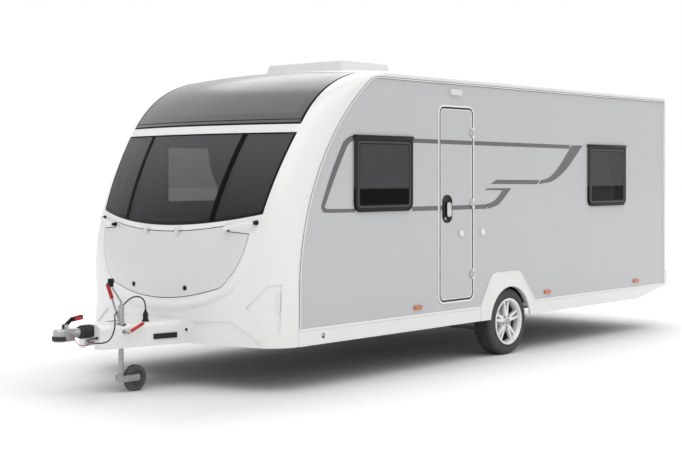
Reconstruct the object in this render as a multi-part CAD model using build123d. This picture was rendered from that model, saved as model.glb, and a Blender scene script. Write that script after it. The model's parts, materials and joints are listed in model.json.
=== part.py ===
"""Single-axle travel caravan as an assembly of named pieces, in millimetres.

Frame: +X forward, +Y to the left, +Z up, origin on the ground under the middle of the overall box.
Stations are measured forward from the rear edge of the side walls; st() turns one into X.
"""

import math
import os

from build123d import *

os.makedirs("parts", exist_ok=True)

# Body shell
BODY_WIDTH = 2230
WALL = 30
WALL_TOP = 2405
FLOOR_LOW = 435
FLOOR_THICK = 45
FRONT_EDGE = 5703        # station of the upright part of the side wall's front edge
NOSE_ARC_Z = 750         # height where that edge starts to curve back
NOSE_ARC_R = 2022
NOSE_FILLET = 280
ROOF_JOINT = 4700        # station where the roof meets the front moulding
SHELL_LOW = 340
BUMPER_HIGH = 600
REAR_CORNER = 110
REAR_FACE = 12000
REAR_BUMPER_PROUD = 40
REAR_LOW = 440
SKIRT_HIGH = 469
SKIRT_THICK = 8
FRONT_SLOT_HALF = 268    # half width of the drawbar cut-out in the bumper

# Front glazing and gas locker lid
PANE_TOP, PANE_CORNER_Z, PANE_LOW = 1942, 1325, 1228
PANE_TOP_HALF = BODY_WIDTH / 2 - 140
PANE_LOW_HALF = PANE_TOP_HALF - 54
PILLAR_TOP, PILLAR_LOW, PILLAR_WIDTH = 0.548 * PANE_TOP_HALF, 0.534 * PANE_LOW_HALF, 40
SILL_STRIP = 28
SUNROOF_LOW, SUNROOF_REAR, SUNROOF_HALF = 2005, 4850, PANE_TOP_HALF
SUNROOF_RIM = 90
LID_TOP, LID_TOP_SIDE, LID_LOW = 1186, 1236, 668
LID_HALF = PANE_LOW_HALF - 55
LID_GAP = 6
LID_SKIN, LID_CORE = 12, 30    # thickness of the lid's rim, and how far its core is set in
LID_HINGE_RISE, LID_HINGE_PROUD, LID_HINGE_Y = 17, 28, 180
GRAB_PROUD = 50

# Pocket in the bumper's corner: its outline and its lamp, along the corner and up
POCKET_INSET = 269       # its edge lies this far inside the wall's plane
POCKET = ((0, 629), (179, 807), (275, 812), (264, 444), (208, 455))
POCKET_LAMP = ((243, 605), (261, 605), (263, 754), (245, 754))
POCKET_ACROSS, POCKET_AHEAD = (-0.535, 0.845, 0), (0.845, 0.535, 0)

# Door and service hatch. Columns: low and high station, low and high z, corner, knuckle heights
DOOR = (3481, 3994, 527, 2210, 75, (760, 1370, 1980))
HATCH = (640, 1010, 560, 900, 30, (640, 820))
LEAF_FRAME = 26
LEAF_GAP = 6
HINGE_PIN_R = 5
PIN_CLEARANCE = 0.1
HINGE_PROUD = 15

# Side windows. Columns: side (1 left, -1 right), low and high station, sill and head z
SIDE_WINDOWS = (
    (1, 4349, 5075, 1325, 1916),
    (1, 850, 1578, 1311, 1902),
    (-1, 4349, 5075, 1325, 1916),
    (-1, 2500, 3200, 1480, 1910),
    (-1, 850, 1578, 1311, 1902),
)
WINDOW_PROUD = 16
WINDOW_LAP = 30
WINDOW_CORNER = 70

# Wheels and axle
WHEEL_STATION = 2918
TYRE_R, TYRE_WIDTH, TYRE_SHOULDER = 298, 185, 38
WHEEL_FACE = BODY_WIDTH / 2 - 18    # Y of the tyre's outer side
RIM_SEAT_R = 196
RIM_LIP = 12
RIM_WALL = 14
SPOKE_PAIRS = 5
ARCH_R, ARCH_LEAD = 316, 8    # the arch is struck a little ahead of the wheel
AXLE_LEAD = 130          # the axle tube lies this far ahead of the wheels
AXLE_Z, AXLE_R = 262, 48
STUB_R = 20
DRUM_R = 118
BOX_HALF, BOX_INNER_Y, BOX_HIGH, BOX_WALL = 350, WHEEL_FACE - 235, 690, 6

# Chassis and drawbar
MEMBER_Y, MEMBER_FLANGE, MEMBER_WEB = 620, 40, 4
MEMBER_LOW = 315
MEMBER_REAR, MEMBER_FRONT = 150, 5150
LEG_WIDTH, LEG_LOW, LEG_HIGH = 50, 345, 425
LEG_REAR, LEG_REAR_Y = 5060, 610
LEG_FRONT, LEG_FRONT_Y = 6480, 85
DRAWTUBE_Z, DRAWTUBE_R = 465, 26
HOUSING_REAR, HOUSING_FRONT, HOUSING_HIGH = 6340, 6745, 498
HEAD_REAR, BALL_STATION = 6868, 7030
BALL_POCKET_R, HEAD_R, HEAD_LOW, HEAD_HIGH = 25.3, 50, 412, 500
DOCK_THICK = 8
FAIRING_REAR, FAIRING_FRONT = 6060, 6765
FAIRING_SKIN = 6
FAIRING_TOP_REAR, FAIRING_TOP_FRONT = 518, 508
HANDBRAKE_STATION, HANDBRAKE_LENGTH = 6410, 345

# Jockey wheel
JOCKEY_STATION, JOCKEY_Y = 6567, 120
JOCKEY_TUBE_R, JOCKEY_STEM_R = 22.5, 19
JOCKEY_TUBE_LOW, JOCKEY_TUBE_HIGH = 330, 648
JOCKEY_KNOB_Z = 795
JOCKEY_WHEEL_R, JOCKEY_TREAD, JOCKEY_TRAIL = 97.5, 50, 130
JOCKEY_STROKE = 125

# Corner steadies. Columns: name, station of the pivot, direction of the leg, side
STEADIES = (
    ("front_left", 5450, -1, 1),
    ("front_right", 5450, -1, -1),
    ("rear_left", 250, 1, 1),
    ("rear_right", 250, 1, -1),
)
STEADY_Y, STEADY_Z, STEADY_LENGTH, STEADY_WIDTH = 700, 372, 480, 36
STEADY_PIN_R = 8
STEADY_FOOT_HALF = 34    # keeps the foot clear of the chassis member

# Leads. The routes are chosen by hand: station, Y, Z
LEAD_DIAMETER = 11
LEAD_ROUTE = (
    (6785, 95, 420), (6850, 95, 420), (6890, 135, 412), (6890, 191, 406), (6850, 231, 402), (6790, 231, 404),
    (6740, 220, 428), (6706, 207, 468), (6678, 188, 510), (6640, 138, 558), (6590, 74, 580), (6525, 48, 602),
    (6489, 66, 656), (6433, 93, 702), (6381, 118, 702), (6345, 136, 662), (6345, 136, 602),
)
BREAKAWAY_DIAMETER = 5
BREAKAWAY_ROUTE = (
    (6765, 78, 400), (6796, 78, 400), (6834, 80, 384), (6876, 80, 374), (6916, 76, 382),
    (6944, 68, 410), (6954, 56, 446), (6958, 30, 472),
)
PLUG_FOOT_Z, PLUG_BODY, PLUG_NECK = 526, 48, 28

BOARD = 18               # thickness of the furniture boards
CLOTH_GAP = 0.3          # curtains hang this far off the wall

HALF = BODY_WIDTH / 2
FLOOR_HIGH = FLOOR_LOW + FLOOR_THICK
AXIS_STATION = FRONT_EDGE - NOSE_ARC_R
WHEEL_Y = WHEEL_FACE - TYRE_WIDTH / 2
AXLE_END = WHEEL_Y - 172

# Sections of the front moulding from the skirt to the roof. Columns: tilt of the section plane,
# station and height of its origin, reach of the side line, corner radius, face radius
ROOF_SECTION = (90, ROOF_JOINT, NOSE_ARC_Z, WALL_TOP - NOSE_ARC_Z, 45, 15000)
FRONT_SECTIONS = (
    (0, AXIS_STATION, NOSE_ARC_Z - 50, NOSE_ARC_R, 275, 3000),
    (0, AXIS_STATION, NOSE_ARC_Z, NOSE_ARC_R, 275, 3000),
    (17, AXIS_STATION, NOSE_ARC_Z, NOSE_ARC_R, 255, 3300),
    (34, AXIS_STATION, NOSE_ARC_Z, NOSE_ARC_R, 225, 4000),
    (52, AXIS_STATION, NOSE_ARC_Z, NOSE_ARC_R, 70, 9000),
    ROOF_SECTION,
    (90, ROOF_JOINT - 250) + ROOF_SECTION[2:],
)


def face_reach(side, corner, face, half=HALF):
    """How far a section's bowed face reaches beyond its origin on the centre line."""
    return face + side - math.sqrt((face - corner) ** 2 - (half - corner) ** 2)


NOSE_STATION = BALL_STATION + HEAD_R + DOCK_THICK
REAR_REACH = face_reach(REAR_BUMPER_PROUD, REAR_CORNER, REAR_FACE)
REAR_X = -(NOSE_STATION - REAR_REACH) / 2


def nose_station(y, z):
    """Station of the nose's face, interpolated through its sections."""
    points = []
    for tilt, station, height, side, corner, face in FRONT_SECTIONS[:4]:
        reach = face_reach(side, corner, face) - face + math.sqrt(face**2 - y**2)
        angle = math.radians(tilt)
        points.append((station + reach * math.cos(angle), height + reach * math.sin(angle)))
    total = 0
    for station, here in points:
        weight = math.prod((z - other) / (here - other) for _, other in points if other != here)
        total += station * weight
    return total


LID_HINGE_Z = LID_TOP + LID_HINGE_RISE
LID_HINGE_STATION = round(nose_station(LID_HINGE_Y, LID_HINGE_Z)) + LID_HINGE_PROUD


def st(station):
    """X of a station."""
    return REAR_X + station


def slab_y(sketch, low, high):
    """Extrude an (x, z) sketch between two Y values."""
    return extrude(Plane.XZ.offset(-high) * sketch, amount=high - low)


def slab_x(sketch, low, high):
    """Extrude a (y, z) sketch between two X values."""
    return extrude(Plane.YZ.offset(low) * sketch, amount=high - low)


def slab_z(sketch, low, high):
    """Extrude an (x, y) sketch between two Z values."""
    return extrude(Plane.XY.offset(low) * sketch, amount=high - low)


def block(x, y, z):
    """Box between pairs of low and high values."""
    size = [high - low for low, high in (x, y, z)]
    return Pos(*[(low + high) / 2 for low, high in (x, y, z)]) * Box(*size)


def rod(start, end, radius):
    """Cylinder between two points."""
    start, end = Vector(*start), Vector(*end)
    plane = Plane(origin=start, z_dir=end - start)
    return extrude(plane * Circle(radius), amount=(end - start).length)


def rod_y(x, z, radius, low, high):
    return rod((x, low, z), (x, high, z), radius)


def rod_z(x, y, radius, low, high):
    return rod((x, y, low), (x, y, high), radius)


def polygon(*points):
    return make_face(Polyline(*points, close=True))


def round_rect(low_x, high_x, low_y, high_y, radius, inset=0):
    size = (high_x - low_x - 2 * inset, high_y - low_y - 2 * inset)
    middle = Pos((low_x + high_x) / 2, (low_y + high_y) / 2)
    return middle * RectangleRounded(*size, max(radius - inset, 4))


def mirrored(part):
    return part.mirror(Plane.XZ)


def both(part):
    """The piece and its twin on the other side."""
    return [part, mirrored(part)]


def save(name, *shapes):
    solids = [solid for shape in shapes for solid in shape.solids()]
    whole = solids[0] if len(solids) == 1 else Compound(solids)
    export_step(whole, f"parts/{name}.step")


def section(tilt, station, height, side, corner, face, inset=0, depth=200):
    """One section of a bowed moulding: side lines, corner arcs and a face arc."""
    angle = math.radians(tilt)
    along = (math.cos(angle), 0, math.sin(angle))
    plane = Plane(origin=(st(station), 0, height), x_dir=along, z_dir=(-along[2], 0, along[0]))
    half, corner, face = HALF - inset, corner - inset, face - inset
    lean = math.asin((half - corner) / (face - corner))
    centre = side - math.sqrt((face - corner) ** 2 - (half - corner) ** 2)
    knee = (centre + face * math.cos(lean), face * math.sin(lean))
    turn = math.pi / 4 - lean / 2
    mid = (side + corner * math.sin(turn), half - corner + corner * math.cos(turn))
    back = side - depth
    edges = [
        Line((back, -half), (side, -half)),
        ThreePointArc((side, -half), (mid[0], -mid[1]), (knee[0], -knee[1])),
        ThreePointArc((knee[0], -knee[1]), (centre + face, 0), knee),
        ThreePointArc(knee, mid, (side, half)),
        Line((side, half), (back, half)),
        Line((back, half), (back, -half)),
    ]
    return plane * make_face(Curve() + edges)


def side_outline(base):
    """Side wall from above: flat base, upright front edge, nose arc and level top."""
    rise = math.asin((WALL_TOP - NOSE_ARC_Z) / NOSE_ARC_R)
    axis = st(AXIS_STATION)
    top = (axis + NOSE_ARC_R * math.cos(rise), WALL_TOP)
    mid = (axis + NOSE_ARC_R * math.cos(rise / 2), NOSE_ARC_Z + NOSE_ARC_R * math.sin(rise / 2))
    edges = [
        Line((st(0), base), (st(FRONT_EDGE), base)),
        Line((st(FRONT_EDGE), base), (st(FRONT_EDGE), NOSE_ARC_Z)),
        ThreePointArc((st(FRONT_EDGE), NOSE_ARC_Z), mid, top),
        Line(top, (st(0), WALL_TOP)),
        Line((st(0), WALL_TOP), (st(0), base)),
    ]
    face = make_face(Curve() + edges)
    return fillet(face.vertices().sort_by_distance((*top, 0))[0], NOSE_FILLET)


def hinged_leaf(low, high, foot, head, corner, heights):
    """Frame with hinge pins, swinging leaf and wall cut-out for the left side."""
    outline = (st(low), st(high), foot, head, corner)
    mouth = round_rect(*outline, LEAF_FRAME)
    cut = round_rect(*outline, 8)
    frame = slab_y(round_rect(*outline) - mouth, HALF, HALF + 6)
    frame += slab_y(cut - mouth, HALF - WALL, HALF)
    leaf_face = HALF + 4
    leaf = slab_y(round_rect(*outline, LEAF_FRAME + LEAF_GAP), HALF - WALL, leaf_face)
    x, y = st(low) + LEAF_FRAME + LEAF_GAP / 2, HALF + HINGE_PROUD
    for z in heights:
        for z_low, z_high in ((z + 19, z + 45), (z - 45, z - 19)):
            frame += rod_z(x, y, 8, z_low, z_high)
            frame += block((x - 25, x), (HALF + 5, y), (z_low, z_high))
        frame += rod_z(x, y, HINGE_PIN_R, z - 45, z + 45)
        leaf += rod_z(x, y, 8, z - 18, z + 18)
        leaf += block((x, x + 35), (leaf_face - 1, y), (z - 18, z + 18))
        leaf -= rod_z(x, y, HINGE_PIN_R + PIN_CLEARANCE, z - 20, z + 20)
    return frame, leaf, cut


def cord(points, diameter):
    """Tube along straight runs joined by the largest tangent arcs that the runs allow."""
    route = [Vector(st(s), y, z) for s, y, z in points]
    edges, start, radii = [], route[0], []
    for before, here, after in zip(route, route[1:], route[2:]):
        into, out = (here - before), (after - here)
        reach = 0.45 * min(into.length, out.length)
        into, out = into.normalized(), out.normalized()
        half_turn = math.radians(into.get_angle(out)) / 2
        radius = reach / math.tan(half_turn)
        inward = (out - into).normalized()
        first, last = here - into * reach, here + out * reach
        middle = here + inward * (radius / math.cos(half_turn) - radius)
        edges += [Line(start, first), ThreePointArc(first, middle, last)]
        start = last
        radii.append(round(radius))
    edges.append(Line(start, route[-1]))
    path = Wire(edges)
    tube = sweep(Plane(origin=route[0], z_dir=route[1] - route[0]) * Circle(diameter / 2), path=path)
    volume = path.length * math.pi * diameter**2 / 4
    print("cord", diameter, "radii", radii, "length", round(path.length), "fill", tube.volume / volume)
    return tube


def front_moulding(inset, depth, low):
    """Solid of the nose: an upright lower part and a loft that leans back into the roof."""
    rows = [section(*row, inset=inset, depth=depth) for row in FRONT_SECTIONS]
    return loft(rows) + extrude(rows[0], amount=low - FRONT_SECTIONS[0][2])


def front_mouldings():
    """Front moulding cut into bumper, surround, panes, roof window and locker lid."""
    outer = front_moulding(0, 200, SHELL_LOW - 40)
    inner = front_moulding(WALL, 260, SHELL_LOW - 80)
    cabin = slab_y(side_outline(SHELL_LOW - 140), -HALF - 100, HALF + 100)
    reach = block((st(ROOF_JOINT), st(FRONT_EDGE) + 1500), (-HALF - 50, HALF + 50), (SHELL_LOW, 3000))
    recessed = front_moulding(LID_SKIN, 220, SHELL_LOW - 60)
    shell = (outer & reach) - cabin - inner
    front = (st(AXIS_STATION) + 1200, st(FRONT_EDGE) + 1500)
    wide = (-HALF - 50, HALF + 50)

    apron = polygon(
        (HALF - 718, 505), (HALF - 394, 534), (HALF - 143, 374), (HALF - 165, SHELL_LOW - 40),
        (HALF - 718, SHELL_LOW - 40),
    )
    lamps = (outer - recessed) & corner_prism(POCKET_LAMP)
    for cut in (slab_x(apron, *front), corner_prism(POCKET)):
        for recess in both(cut - recessed):
            shell -= recess
    bumper = shell & block(front, wide, (SHELL_LOW, BUMPER_HIGH))
    bumper -= block(front, (-FRONT_SLOT_HALF, FRONT_SLOT_HALF), (0, FLOOR_HIGH))
    upper = shell & block((st(ROOF_JOINT), front[1]), wide, (BUMPER_HIGH, 3000))

    half, rim = SUNROOF_HALF, SUNROOF_RIM
    sun = block((st(SUNROOF_REAR), front[1]), (-half, half), (SUNROOF_LOW, 3000))
    clear = block(
        (st(SUNROOF_REAR) + rim, front[1]), (rim - half, half - rim), (SUNROOF_LOW + rim, 3000)
    )
    roof_window = upper & sun
    sun_glass, sun_frame = roof_window & clear, roof_window - clear

    pane_edges = [
        Line((-PANE_LOW_HALF, PANE_CORNER_Z), (-PANE_TOP_HALF, PANE_TOP)),
        Line((-PANE_TOP_HALF, PANE_TOP), (PANE_TOP_HALF, PANE_TOP)),
        Line((PANE_TOP_HALF, PANE_TOP), (PANE_LOW_HALF, PANE_CORNER_Z)),
        ThreePointArc((PANE_LOW_HALF, PANE_CORNER_Z), (0, PANE_LOW), (-PANE_LOW_HALF, PANE_CORNER_Z)),
    ]
    window = slab_x(make_face(Curve() + pane_edges), *front)
    sag = PANE_CORNER_Z - PANE_LOW
    bow = (PANE_LOW_HALF**2 + sag**2) / (2 * sag)
    above = slab_x(Pos(0, PANE_LOW + SILL_STRIP + bow) * Circle(bow), *front)
    w = PILLAR_WIDTH / 2
    pillar = slab_x(
        polygon(
            (PILLAR_LOW - w, PANE_LOW - 50), (PILLAR_LOW + w, PANE_LOW - 50),
            (PILLAR_TOP + w, PANE_TOP + 50), (PILLAR_TOP - w, PANE_TOP + 50),
        ),
        *front,
    )
    glazing = upper & window
    trim = [glazing - above, glazing & above & pillar, glazing & above & mirrored(pillar)]
    panes = (glazing & above) - pillar - mirrored(pillar)

    lid_cut = lid_outline()
    opening = slab_x(lid_cut, *front)
    lid = upper & slab_x(offset(lid_cut, -LID_GAP), *front)
    core = slab_x(offset(lid_cut, -LID_GAP - LID_CORE), *front)
    lid -= recessed - core
    surround = upper - sun - window - opening
    x, z = st(LID_HINGE_STATION), LID_HINGE_Z
    for y in (-LID_HINGE_Y, LID_HINGE_Y):
        for y_low, y_high in ((y + 21, y + 45), (y - 45, y - 21)):
            arm = block((x - 40, x), (y_low, y_high), (z - 4, z + 7)) - outer
            surround += rod_y(x, z, 8, y_low, y_high) + arm
        surround += rod_y(x, z, HINGE_PIN_R, y - 45, y + 45)
        strap = block((x - 40, x + 4), (y - 18, y + 18), (z - 45, LID_TOP - LID_GAP - 2))
        strap += block((x - 12, x + 4), (y - 18, y + 18), (z - 45, z - 2))
        lid += rod_y(x, z, 8, y - 18, y + 18) + (strap - outer)
        lid -= rod_y(x, z, HINGE_PIN_R + PIN_CLEARANCE, y - 20, y + 20)

    shelf_z = (LID_TOP_SIDE + 3, LID_TOP_SIDE + 19)
    liner = inner & block((st(FRONT_EDGE) - 60, front[1]), wide, shelf_z)
    liner += block(
        (st(FRONT_EDGE) - 75, st(FRONT_EDGE) - 60), (WALL - HALF, HALF - WALL), (FLOOR_HIGH, shelf_z[1])
    )

    save("front_bumper", bumper)
    save("front_markers", *both(lamps))
    save("front_surround", surround)
    save("front_windows", panes)
    save("front_window_trim", *trim)
    save("sunroof_frame", sun_frame)
    save("sunroof_glass", sun_glass)
    save("gas_locker_lid", lid)
    save("gas_locker_liner", liner)
    return outer


def corner_prism(outline):
    """Prism through the left corner of the bumper, square to it."""
    y = HALF - POCKET_INSET
    plane = Plane(
        origin=(st(nose_station(y, FRONT_SECTIONS[0][2])), y, 0), x_dir=POCKET_ACROSS, z_dir=POCKET_AHEAD
    )
    return extrude(plane * polygon(*outline), amount=120, both=True)


def lid_outline():
    """Gas locker mouth: dipped top, a notch under each handle, slanted sides and a belly arc."""
    def corner(share, z):
        return share * LID_HALF, z

    right = [
        Line(corner(0.716, LID_TOP_SIDE), corner(0.762, LID_TOP + 10)),
        Line(corner(0.762, LID_TOP + 10), corner(0.972, LID_TOP - 4)),
        ThreePointArc(corner(0.972, LID_TOP - 4), corner(0.935, 1015), corner(0.797, 828)),
        ThreePointArc(corner(0.797, 828), corner(0.739, 778), corner(0.664, 752)),
    ]
    left = [edge.mirror(Plane.YZ) for edge in right]
    top = ThreePointArc(corner(-0.716, LID_TOP_SIDE), (0, LID_TOP), corner(0.716, LID_TOP_SIDE))
    belly = ThreePointArc(corner(-0.664, 752), (0, LID_LOW), corner(0.664, 752))
    return make_face(Curve() + [top, *right, belly, *left])


def grab_handles(outer):
    """Two slanted grab handles above the locker lid."""
    ends = []
    for y, z in ((HALF - 455, 1216), (HALF - 230, 1262)):
        ends.append((st(nose_station(y, z)) + GRAB_PROUD, y, z))
    bar = rod(*ends, 12)
    for x, y, z in ends:
        bar += Pos(x, y, z) * Sphere(14) + rod((x, y, z), (x - 80, y, z), 9)
    save("grab_handles", *both(bar - outer))


def cabin_walls():
    """Floor, side walls, roof and what is set into them."""
    floor = extrude(
        section(0, AXIS_STATION, FLOOR_LOW, *FRONT_SECTIONS[0][3:], WALL, FRONT_EDGE), amount=FLOOR_THICK
    )
    floor += extrude(
        section(180, 0, FLOOR_HIGH, 0, REAR_CORNER, REAR_FACE, WALL, 20), amount=FLOOR_THICK
    )
    box_x = (st(WHEEL_STATION) - BOX_HALF, st(WHEEL_STATION) + BOX_HALF)
    well = block(
        (box_x[0] + BOX_WALL, box_x[1] - BOX_WALL), (BOX_INNER_Y + BOX_WALL, HALF), (0, BOX_HIGH - BOX_WALL)
    )
    wheel_box = block(box_x, (BOX_INNER_Y, HALF - WALL), (FLOOR_HIGH, BOX_HIGH)) - well
    save("floor_panel", floor - well - mirrored(well))
    save("wheel_boxes", *both(wheel_box))

    door_frame, door, door_cut = hinged_leaf(*DOOR)
    hatch_frame, hatch, hatch_cut = hinged_leaf(*HATCH)
    save("door_frame", door_frame)
    save("entrance_door", door)
    save("hatch_frame", mirrored(hatch_frame))
    save("service_hatch", mirrored(hatch))

    arch = Pos(st(WHEEL_STATION + ARCH_LEAD), TYRE_R) * Circle(ARCH_R)
    outlines = {1: side_outline(FLOOR_LOW) - arch - door_cut, -1: side_outline(FLOOR_LOW) - arch - hatch_cut}
    panes = []
    for side, low, high, sill, head in SIDE_WINDOWS:
        x_low, x_high = st(low), st(high)
        outlines[side] -= round_rect(x_low, x_high, sill, head, WINDOW_CORNER, WINDOW_LAP)
        sheet = round_rect(x_low, x_high, sill, head, WINDOW_CORNER)
        sheet += Pos((x_low + x_high) / 2, head - WINDOW_CORNER) * Rectangle(x_high - x_low, 2 * WINDOW_CORNER)
        pane = slab_y(sheet, HALF, HALF + WINDOW_PROUD)
        plug = round_rect(x_low, x_high, sill, head, WINDOW_CORNER, WINDOW_LAP + 2)
        pane += slab_y(plug, HALF - WALL + 4, HALF)
        pane += block((x_low - 6, x_high + 6), (HALF, HALF + WINDOW_PROUD + 5), (head - 6, head + 14))
        panes.append(pane if side > 0 else mirrored(pane))
    save("side_windows", *panes)
    save("side_wall_left", slab_y(outlines[1], HALF - WALL, HALF))
    save("side_wall_right", slab_y(outlines[-1], -HALF, WALL - HALF))

    edge = side_outline(FLOOR_LOW)
    rail = edge - offset(edge, -24)
    bead = offset(edge, -8) - offset(edge, -16)
    low = Pos(0, SKIRT_HIGH - 500) * Rectangle(20000, 1000)
    awning_rail = slab_y(rail - low, HALF, HALF + 6) + slab_y(bead - low, HALF, HALF + 13)
    save("awning_rails", *both(awning_rail))

    spat_low, spat_high, spat_top = WHEEL_STATION - 392, WHEEL_STATION + 462, 752
    skirt = polygon(
        (st(0), SKIRT_HIGH), (st(0), 445), (st(570), SHELL_LOW), (st(FRONT_EDGE), SHELL_LOW),
        (st(FRONT_EDGE), SKIRT_HIGH),
    )
    skirt -= Pos(st(5434), 401) * Circle(22)
    gap = Pos(st((spat_low + spat_high) / 2), SKIRT_HIGH) * Rectangle(spat_high - spat_low, 400)
    save("skirts", *both(slab_y(skirt - gap, HALF, HALF + SKIRT_THICK)))
    spat = polygon(
        (st(spat_low), SHELL_LOW), (st(spat_high), SHELL_LOW), (st(spat_high), SKIRT_HIGH),
        (st(WHEEL_STATION + 280), spat_top), (st(WHEEL_STATION - 143), spat_top),
        (st(spat_low), SKIRT_HIGH),
    )
    for station, radius in ((WHEEL_STATION + 280, 130), (WHEEL_STATION - 143, 90)):
        spat = fillet(spat.vertices().filter_by(lambda v, x=st(station): abs(v.X - x) < 1), radius)
    save("wheel_spats", *both(slab_y(spat - arch, HALF, HALF + 18)))

    ring = section(*ROOF_SECTION) - section(*ROOF_SECTION, inset=WALL, depth=400)
    roof = extrude(ring, amount=ROOF_JOINT)
    roof &= block((st(-50), st(ROOF_JOINT) + 50), (-HALF - 50, HALF + 50), (WALL_TOP, 3000))
    domes = []
    for low, high, half, top in ((3780, 4480, 480, 2588), (1180, 1600, 210, 2560)):
        roof -= block((st(low + 70), st(high - 70)), (70 - half, half - 70), (2000, 3000))
        domes.append(roof_light(st(low), st(high), half, top))
    crown = extrude(section(*ROOF_SECTION), amount=ROOF_JOINT)
    save("roof_panel", roof)
    save("roof_lights", *[dome - crown for dome in domes])


def roof_light(low, high, half, top):
    """Hollow dome with sloping sides."""
    middle, length = (low + high) / 2, high - low

    def pane(z, shrink):
        return Plane.XY.offset(z) * Pos(middle, 0) * RectangleRounded(
            length - 2 * shrink, 2 * (half - shrink), 60 - min(shrink, 40)
        )

    hull = loft([pane(2440, 0), pane(2500, 8), pane(top, 45)], ruled=True)
    room = loft([pane(2430, 14), pane(2500, 20), pane(top - 8, 53)], ruled=True)
    return hull - room


def rear_end():
    """Bowed rear panel with bumper, window, lamps and blank plate."""
    def bowed(low, high, proud, inset=0, depth=200):
        face = section(180, 0, high, proud, REAR_CORNER, REAR_FACE, inset, depth)
        return extrude(face, amount=high - low)

    behind = (st(-400), st(0))
    wide = (-HALF - 50, HALF + 50)
    crown = extrude(section(*ROOF_SECTION), amount=ROOF_JOINT + 400)
    above = block((st(-400), st(50)), wide, (WALL_TOP - 190, 3000)) - crown
    inner = bowed(REAR_LOW - 50, 2700, 0, WALL, 300)
    panel = (bowed(REAR_LOW, 2600, 0) - inner) & block(behind, wide, (0, 3000))
    ring = section(*ROOF_SECTION) - section(*ROOF_SECTION, inset=WALL, depth=400)
    cap = extrude(ring, amount=ROOF_JOINT + 400) & bowed(WALL_TOP - 100, 2700, 0)
    panel = panel - above + (cap & block(behind, wide, (WALL_TOP, 3000)))
    bumper = (bowed(REAR_LOW, BUMPER_HIGH, REAR_BUMPER_PROUD) - inner) & block(behind, wide, (0, 3000))
    panel += bumper
    glass = slab_x(round_rect(475 - HALF, HALF - 475, 1290, 1900, 60), *behind)
    save("rear_window", panel & glass)
    save("rear_panel", panel - glass)

    def on_rear(y, z, proud):
        pod = bowed(z[0], z[1], proud) - bowed(z[0] - 10, z[1] + 10, 0, 0, 300)
        return pod & block((st(-400), st(-10)), y, (0, 3000))

    lamp = on_rear((HALF - 325, HALF - 125), (640, 900), 24)
    save("rear_lamps", *both(lamp), on_rear((-170, 170), (2250, 2282), 18))
    return on_rear((-260, 260), (650, 762), 8)


def wall_fittings(plate):
    """Door catch, lamp, vents and blank plate on the outside."""
    catch_x = 2 * (st(DOOR[0]) + LEAF_FRAME + LEAF_GAP / 2) - st(3673)
    catch = rod_y(catch_x, 1117, 17, HALF, HALF + 16)
    vents = []
    for z in (760, 1290):
        vent = block((st(3420), st(3880)), (HALF, HALF + 10), (z, z + 240))
        for k in range(7):
            vent -= block((st(3445), st(3855)), (HALF + 4, HALF + 20), (z + 25 + 29 * k, z + 40 + 29 * k))
        vents.append(mirrored(vent))
    flue = mirrored(rod_y(st(2250), 860, 55, HALF, HALF + 14))
    save("wall_fittings", catch, *vents, flue, plate)

    lamp = slab_y(round_rect(st(3672), st(3832), 2298, 2346, 20), HALF, HALF + 20)
    save("awning_lamp", lamp)
    markers = []
    for station in (4271, 2306, 621):
        marker = slab_y(round_rect(st(station - 52), st(station + 52), 508, 544, 17), HALF, HALF + 13)
        markers += both(marker)
    save("marker_lamps", *markers)

    door_face = HALF + 4
    handle = slab_y(round_rect(st(3806), st(3936), 1212, 1448, 60), door_face, door_face + 9)
    grip = slab_y(round_rect(st(3827), st(3884), 1261, 1386, 24), door_face + 9, door_face + 22)
    peg = rod_y(st(3673), 1117, 17, door_face, door_face + 16)
    save("door_fittings", handle + grip, peg)


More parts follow.
